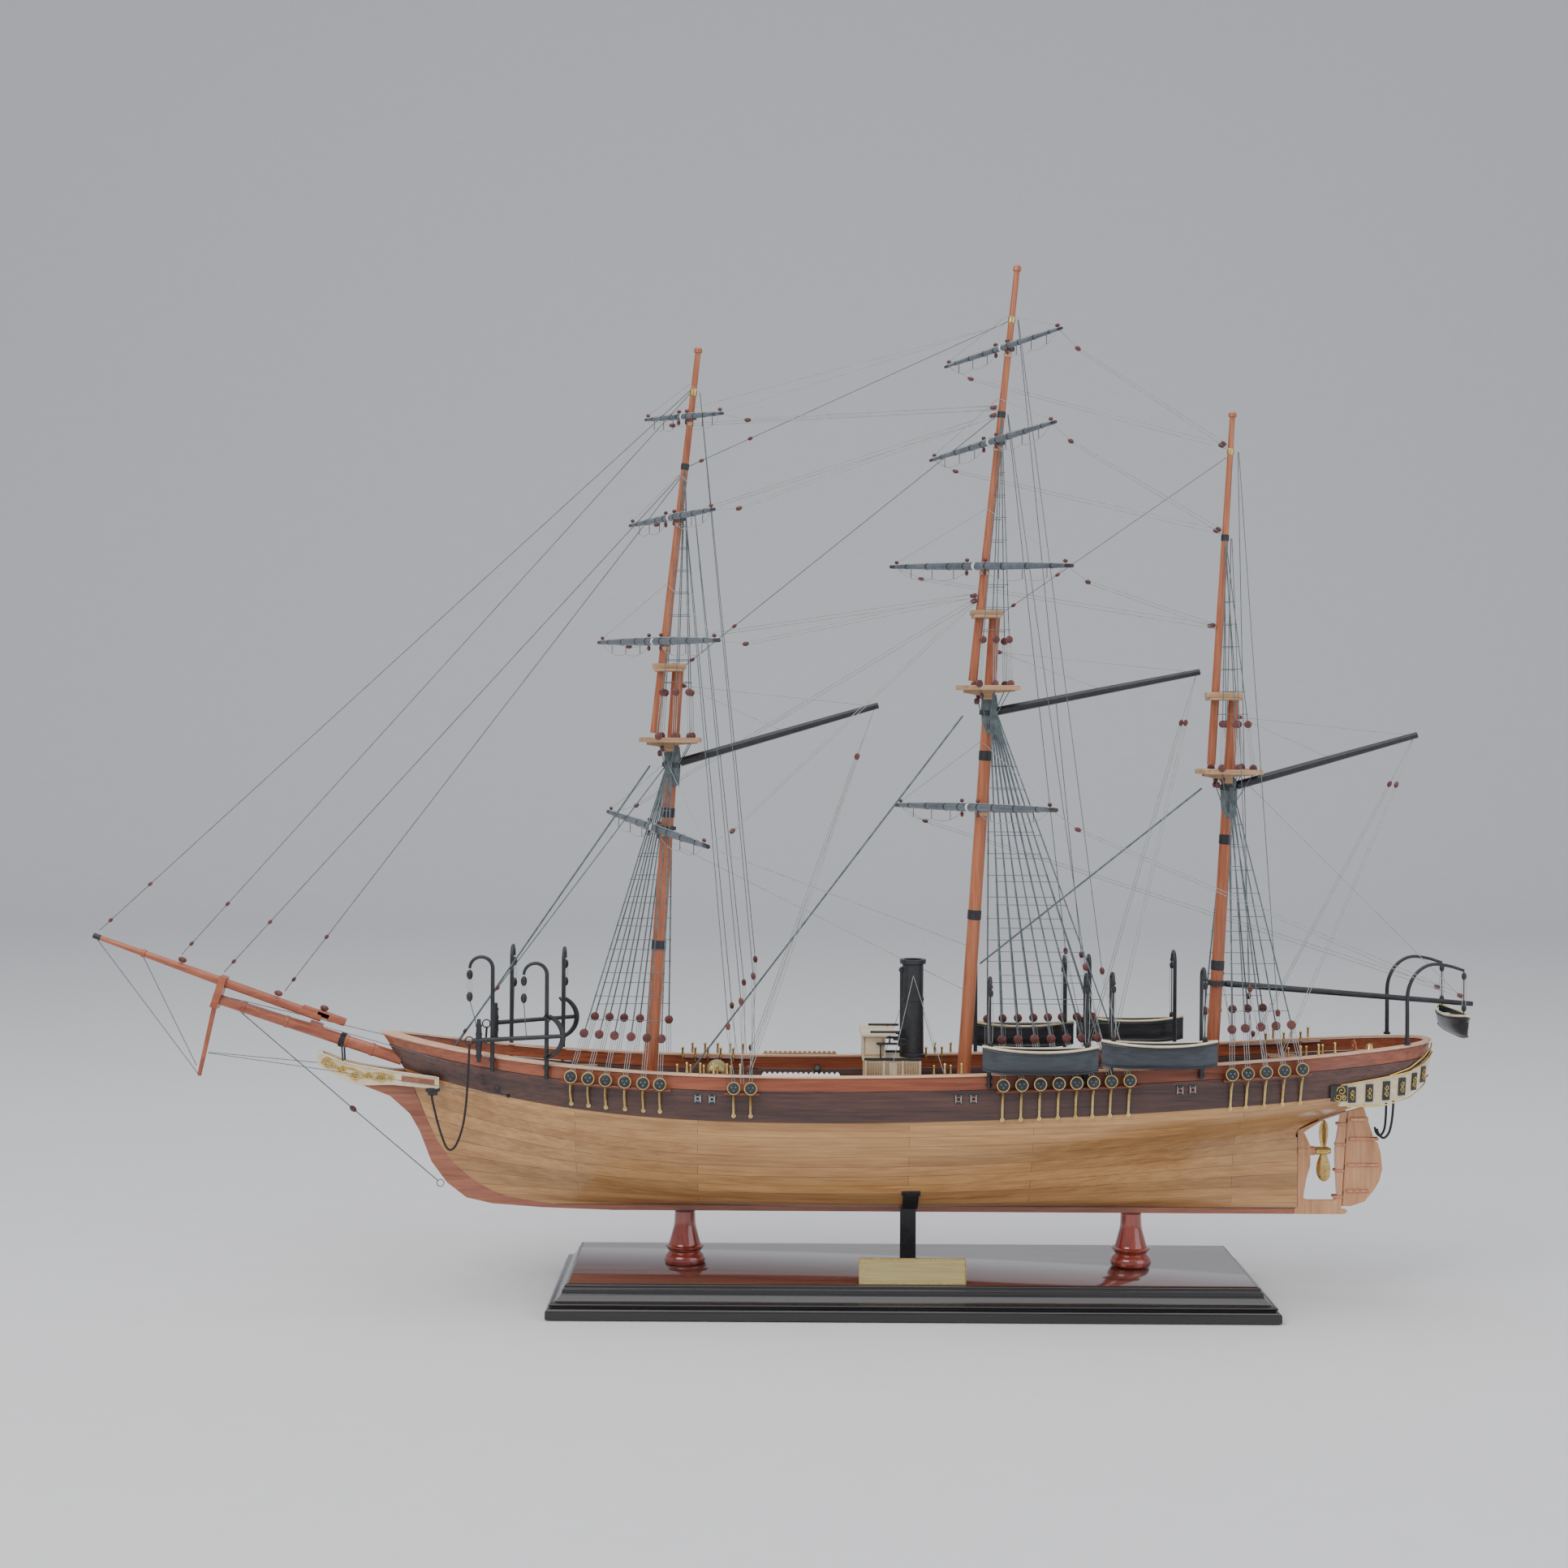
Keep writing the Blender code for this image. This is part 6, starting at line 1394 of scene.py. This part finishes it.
def make_deck_gear(settings):
    """Belaying pins, pin rails, windlass, guns, hammock cloths, port hardware and the bridge rails."""
    piece = Piece("belaying_pins")
    profile = ((-2.6, 0.5), (0.0, 0.5), (0.1, 0.95), (1.5, 0.8), (4.2, 0.6), (5.6, 0.95), (6.2, 0.6))
    for xs in (np.linspace(100.9, 132.8, 5), np.array((-234.4, -245.5, -255.7)), np.linspace(-21.0, -31.0, 2)):
        for side in SIDES:
            rail = RAIL_TOP.at(xs, side, -1.2, 0.6)
            piece.add(turned(profile, rail, Z, 10), "brass")
            piece.add(turned(profile, rail + vec(6.0, -side * 6.0, -2.0), Z, 10), "brass")
    for side in SIDES:
        for front, back in ((138.0, 96.0), (-206.0, -262.0)):
            x = np.linspace(back, front, 12)
            centre = RAIL_TOP.at(x, side, -6.2, -2.2)
            piece.add(tube(centre, 1.3, 4), "strake")
    piece.make("bare_brass")
    piece = Piece("hammock_cloths")
    x = np.linspace(41.5, 88.0, 121)
    wave = np.abs(np.sin((x - 41.5) * np.pi / 3.1))
    for side, colour in ((1, "white"), (-1, "tan")):
        base = RAIL_TOP.at(x, side, -1.3, 0.0)
        high = base + (0.7 + 1.5 * wave)[:, None] * Z
        ring = [base + vec(0, -1.1, 0), base + vec(0, 1.1, 0), high + vec(0, 0.9, 0), high + vec(0, -0.9, 0)]
        piece.add(np.stack(ring, axis=1), colour)
    piece.make("cream_paint")
    piece = Piece("port_hardware")
    for x in (126.0, 117.5, -29.0, -38.0, -161.0, -168.5):
        for side in SIDES:
            z = float(WALE_HIGH.z(x)) - 5.0
            piece.add(patch((x - 2.4, x + 2.4), (z - 2.7, z + 2.7), side, 0.25, 0.45), "band")
            angle = np.linspace(0, 2 * np.pi, 15)
            ring = side_point(x + 1.3 * np.cos(angle), z + 1.3 * np.sin(angle), side, 1.1)
            piece.add(tube(ring, 0.35, 5), "copper" if x < 0 else "thread")
            for shift in (-1.6, 1.6):
                piece.add(tube([side_point(x + shift, z + 2.4, side, 1.0), side_point(x + shift, z - 2.2, side, 1.0)],
                               0.32, 5), "thread")
    for side in SIDES:
        spot = side_point(247.6, 132.1, side, 0.8)
        piece.add(turned(((-0.8, 2.2), (0.2, 2.0), (0.9, 0.9)), spot, (0, side, 0.1), 14), "band")
        spot = WALE_LOW.at(241.2, side, 0.2, 0.5)
        piece.add(turned(((-0.8, 1.2), (0.4, 1.2), (1.4, 0.5)), spot, (0, side, 0), 10), "black")
    piece.make("black_paint")
    piece = Piece("windlass_and_guns")
    deck_z = float(DECK.z(116.0))
    drum = ((-12.0, 2.6), (-11.0, 5.2), (-6.0, 4.2), (-5.6, 6.2), (5.6, 6.2), (6.0, 4.2), (11.0, 5.2), (12.0, 2.6))
    piece.add(turned(drum, (116.3, 0, deck_z + 9.5), (0, 1, 0), 28), "plate")
    piece.add(slab([(116.3, y, deck_z + 5.0) for y in (-13.5, 13.5)], (7.0, 2.4, 13.0)), "strake")
    barrel = ((0.0, 1.2), (1.0, 2.4), (8.0, 2.2), (8.4, 2.5), (9.2, 2.2), (19.0, 1.5), (20.0, 1.9), (21.0, 1.7))
    for x in (53.8, 20.0, -90.0, -128.0):
        for side in SIDES:
            z = float(DECK.z(x))
            inner = abs(float(RAIL_TOP.at(x, side)[1])) - 26.0
            piece.add(turned(barrel, (x, side * inner, z + 6.5), (0, side, 0), 16), "black")
            piece.add(slab((x, side * (inner + 7.0), z + 3.0), (7.0, 14.0, 4.0)), "keel")
            wheels = [(x + s * 4.0, side * (inner + t), z + 1.8) for s in SIDES for t in (2.5, 11.5)]
            piece.add(turned(((-0.7, 1.0), (-0.6, 1.8), (0.6, 1.8), (0.7, 1.0)), wheels, (1, 0, 0), 12), "black")
    piece.add(turned(((0, 4.2), (1.2, 4.4), (2, 3.0), (8, 2.4), (9, 3.2), (12, 2.2), (13, 0.6)),
                     (-285.8, 0, float(DECK.z(-285.8))), Z, 20), "brass")
    angle = np.linspace(0, 2 * np.pi, 33)
    wheel = vec(-276.0, 0, float(DECK.z(-276.0)) + 9.0)
    rim = wheel + 6.0 * np.stack([0 * angle, np.cos(angle), np.sin(angle)], axis=-1)
    line(piece, rim, 1.2, "mast", 6)
    for a in np.arange(8) * np.pi / 4:
        line(piece, [wheel, wheel + 7.4 * vec(0, math.cos(a), math.sin(a))], 0.8, "mast", 5)
    piece.make("red_brown_wood")


def make_bridge(settings):
    """Louvred panels, dark rails and steps of the house, and bands, lip, guys and pipe of the funnel."""
    piece = Piece("house_trim")
    deck_z = float(DECK.z(8.0)) + 0.4
    for side in SIDES:
        y = side * 17.3
        posts = [(x, y, (deck_z + 149.0) / 2) for x in (-8.0, 2.6, 14.0, 25.0)]
        piece.add(slab(posts, (1.4, 1.0, 149.0 - deck_z)), "cream")
        strips = [(x, y, (deck_z + 149.0) / 2) for x in np.arange(-6.5, 24.5, 1.5) if 2.0 < abs(x - 8) < 20]
        piece.add(slab(strips, (0.8, 0.5, 149.0 - deck_z - 3.0)), "tan")
        piece.add(slab((8.5, y, deck_z + 1.4), (35.5, 1.6, 2.8)), "keel")
        rails = [((8.6, y, 149.6), (35.0, 1.6, 1.6)), ((9.6, side * 14.5, 158.6), (18.0, 1.4, 1.4)),
                 ((4.4, side * 14.5, 161.4), (8.0, 1.4, 1.4)), ((13.0, side * 17.6, 166.2), (19.0, 1.4, 1.4))]
        for centre, size in rails:
            piece.add(slab(centre, size), "black")
        stanchions = [(x, side * 14.8, z) for x, z in ((10.5, 162.2), (3.4, 157.0), (16.0, 154.0))]
        piece.add(slab(stanchions, (1.0, 1.0, 8.0), edge=0.2), "black")
        panel = [(20.0, side * 12.3, 157.0)]
        piece.add(slab(panel, (12.0, 0.6, 12.0)), "tan")
        piece.add(slab(panel, (10.4, 1.0, 10.4)), "cream")
    piece.make("cream_paint")
    piece = Piece("funnel_trim")
    base = vec(-4.2, 0, 149.3)
    profile = ((0, 7.8), (1.4, 7.8), (2.0, 6.9), (34.0, 6.55), (34.3, 6.95), (36.0, 6.95), (36.3, 6.5), (56.4, 6.5),
               (57.0, 8.0), (59.4, 8.15), (59.6, 7.7), (59.5, 5.6), (52.0, 5.5))
    piece.add(turned(profile, base, Z, 48), "black")
    piece.add(tube([(2.6, 0, 149.3), (2.6, 0, 190.0), (2.6, 0, 204.0)], 1.2, 14), "black")
    piece.add(turned(((0, 1.2), (0.4, 1.9), (2.0, 1.9), (2.3, 1.2)), (2.6, 0, 201.0), Z, 16), "black")
    for side in SIDES:
        for x in (-22.0, 12.0):
            line(piece, [base + vec(0, side * 6.6, 50.0), (x, side * 44.0, 141.0)], 0.35, "thread", 4)
    piece.make("black_paint", replaces=["funnel"])


class StageSettings(bpy.types.PropertyGroup):
    """The picture's camera and lamps."""

    lens: bpy.props.FloatProperty(name="Lens", description="Focal length", default=54.09, unit="CAMERA")
    shift: bpy.props.FloatProperty(name="Shift", description="Upward shift of the picture", default=-0.0388)
    roll: bpy.props.FloatProperty(name="Roll", description="Turn about the line of sight, degrees",
                                  default=-0.332)
    key: bpy.props.FloatProperty(name="Key lamp", description="Power of the lamp on the bow side", default=26.0)
    fill: bpy.props.FloatProperty(name="Fill lamp", description="Power of the lamp on the stern side", default=12.0)
    top: bpy.props.FloatProperty(name="Top lamp", description="Power of the lamp above", default=22.0)
    ambient: bpy.props.FloatProperty(name="Ambient", description="Light from all round", default=0.55)


class HullSettings(bpy.types.PropertyGroup):
    """The stand and the hull."""

    plinth_length: bpy.props.FloatProperty(name="Plinth length", description="Length at the foot, mm", default=433.0)
    plinth_width: bpy.props.FloatProperty(name="Plinth width", description="Width at the foot, mm", default=135.0)
    plank_width: bpy.props.FloatProperty(name="Plank width", description="Width of a hull plank, mm", default=7.7)


class RiggingSettings(bpy.types.PropertyGroup):
    """Threads and cables."""

    cable: bpy.props.FloatProperty(name="Anchor cable", description="Thickness of the cables, mm", default=1.4)
    lanyard: bpy.props.FloatProperty(name="Lanyards", description="Share of the lanyards' full length", default=1.0)


def step(name, label, text, make, group):
    """An operator that runs one maker with its group of settings."""

    def execute(self, context):
        make(getattr(context.scene, group))
        return {"FINISHED"}

    return type("SHIP_OT_" + name, (bpy.types.Operator,),
                {"__doc__": text, "bl_idname": "ship." + name, "bl_label": label, "execute": execute})


STEPS = (
    step("stage", "Stage", "Camera, lamps and floor", make_stage, "ship_stage"),
    step("cables", "Anchor cables", "The two free anchor cables", make_anchor_cables, "ship_rigging"),
    step("stand", "Stand", "Plinth, pedestals, strap and plate", make_stand, "ship_hull"),
    step("planking", "Bottom planks", "The planked bottom", make_planking, "ship_hull"),
    step("topsides", "Topsides", "Wale, upper strake and rail", make_topsides, "ship_hull"),
    step("backbone", "Backbone", "Keel, stern frame, deck and spars in their woods", make_backbone, "ship_hull"),
    step("shrouds", "Shrouds", "Shrouds, ratlines and deadeyes", make_shrouds, "ship_rigging"),
    step("stays", "Stays", "Stays and backstays", make_stays, "ship_rigging"),
    step("yards", "Yards", "Yards with their gear", make_yards, "ship_rigging"),
    step("running", "Running rigging", "Braces, lifts, halliards and vangs", make_running_rigging, "ship_rigging"),
    step("gallery", "Gallery", "Windows, scrolls and mouldings of the stern band", make_gallery, "ship_hull"),
    step("channels", "Channels", "Channel planks, deadeyes and chain plates", make_channels, "ship_hull"),
    step("boats", "Boats", "Boats under their davits", make_boats, "ship_hull"),
    step("anchors", "Anchors", "Anchors under their davits", make_anchors, "ship_hull"),
    step("masts", "Masts", "Lower masts, topmasts and caps", make_masts, "ship_rigging"),
    step("tops", "Tops", "Battens, rims and blocks of the tops", make_top_gear, "ship_rigging"),
    step("bowsprit", "Bowsprit gear", "Bands, blocks and lashings of the bowsprit", make_bowsprit_gear, "ship_rigging"),
    step("head", "Head", "Scrolls and panels of the head", make_head, "ship_hull"),
    step("stern", "Stern gear", "Rudder straps and pendants", make_stern_gear, "ship_hull"),
    step("deck", "Deck gear", "Pins, rails, guns and ports", make_deck_gear, "ship_hull"),
    step("bridge", "Bridge", "House trim and funnel", make_bridge, "ship_hull"),
    step("fittings", "Mast fittings", "Bands and collars of the masts", make_mast_fittings, "ship_rigging"),
)
GROUPS = (("ship_stage", StageSettings), ("ship_hull", HullSettings), ("ship_rigging", RiggingSettings))


class SHIP_PT_panel(bpy.types.Panel):
    """Settings and steps of the ship model"""

    bl_idname = "SHIP_PT_panel"
    bl_label = "Ship model"
    bl_space_type = "VIEW_3D"
    bl_region_type = "UI"
    bl_category = "Ship model"

    def draw(self, context):
        for key, group in GROUPS:
            box = self.layout.box()
            for name in group.__annotations__:
                box.prop(getattr(context.scene, key), name)
        for made in STEPS:
            self.layout.operator(made.bl_idname)


def register():
    for key, group in GROUPS:
        bpy.utils.register_class(group)
        setattr(bpy.types.Scene, key, bpy.props.PointerProperty(type=group))
    for made in STEPS + (SHIP_PT_panel,):
        bpy.utils.register_class(made)


def unregister():
    for made in reversed(STEPS + (SHIP_PT_panel,)):
        bpy.utils.unregister_class(made)
    for key, group in GROUPS:
        delattr(bpy.types.Scene, key)
        bpy.utils.unregister_class(group)


def build_model():
    """Runs every step in order, then notes the sizes of the frame and of what is seen."""
    register()
    for made in STEPS:
        getattr(bpy.ops.ship, made.bl_idname.split(".")[1])()


if __name__ == "__main__":
    build_model()
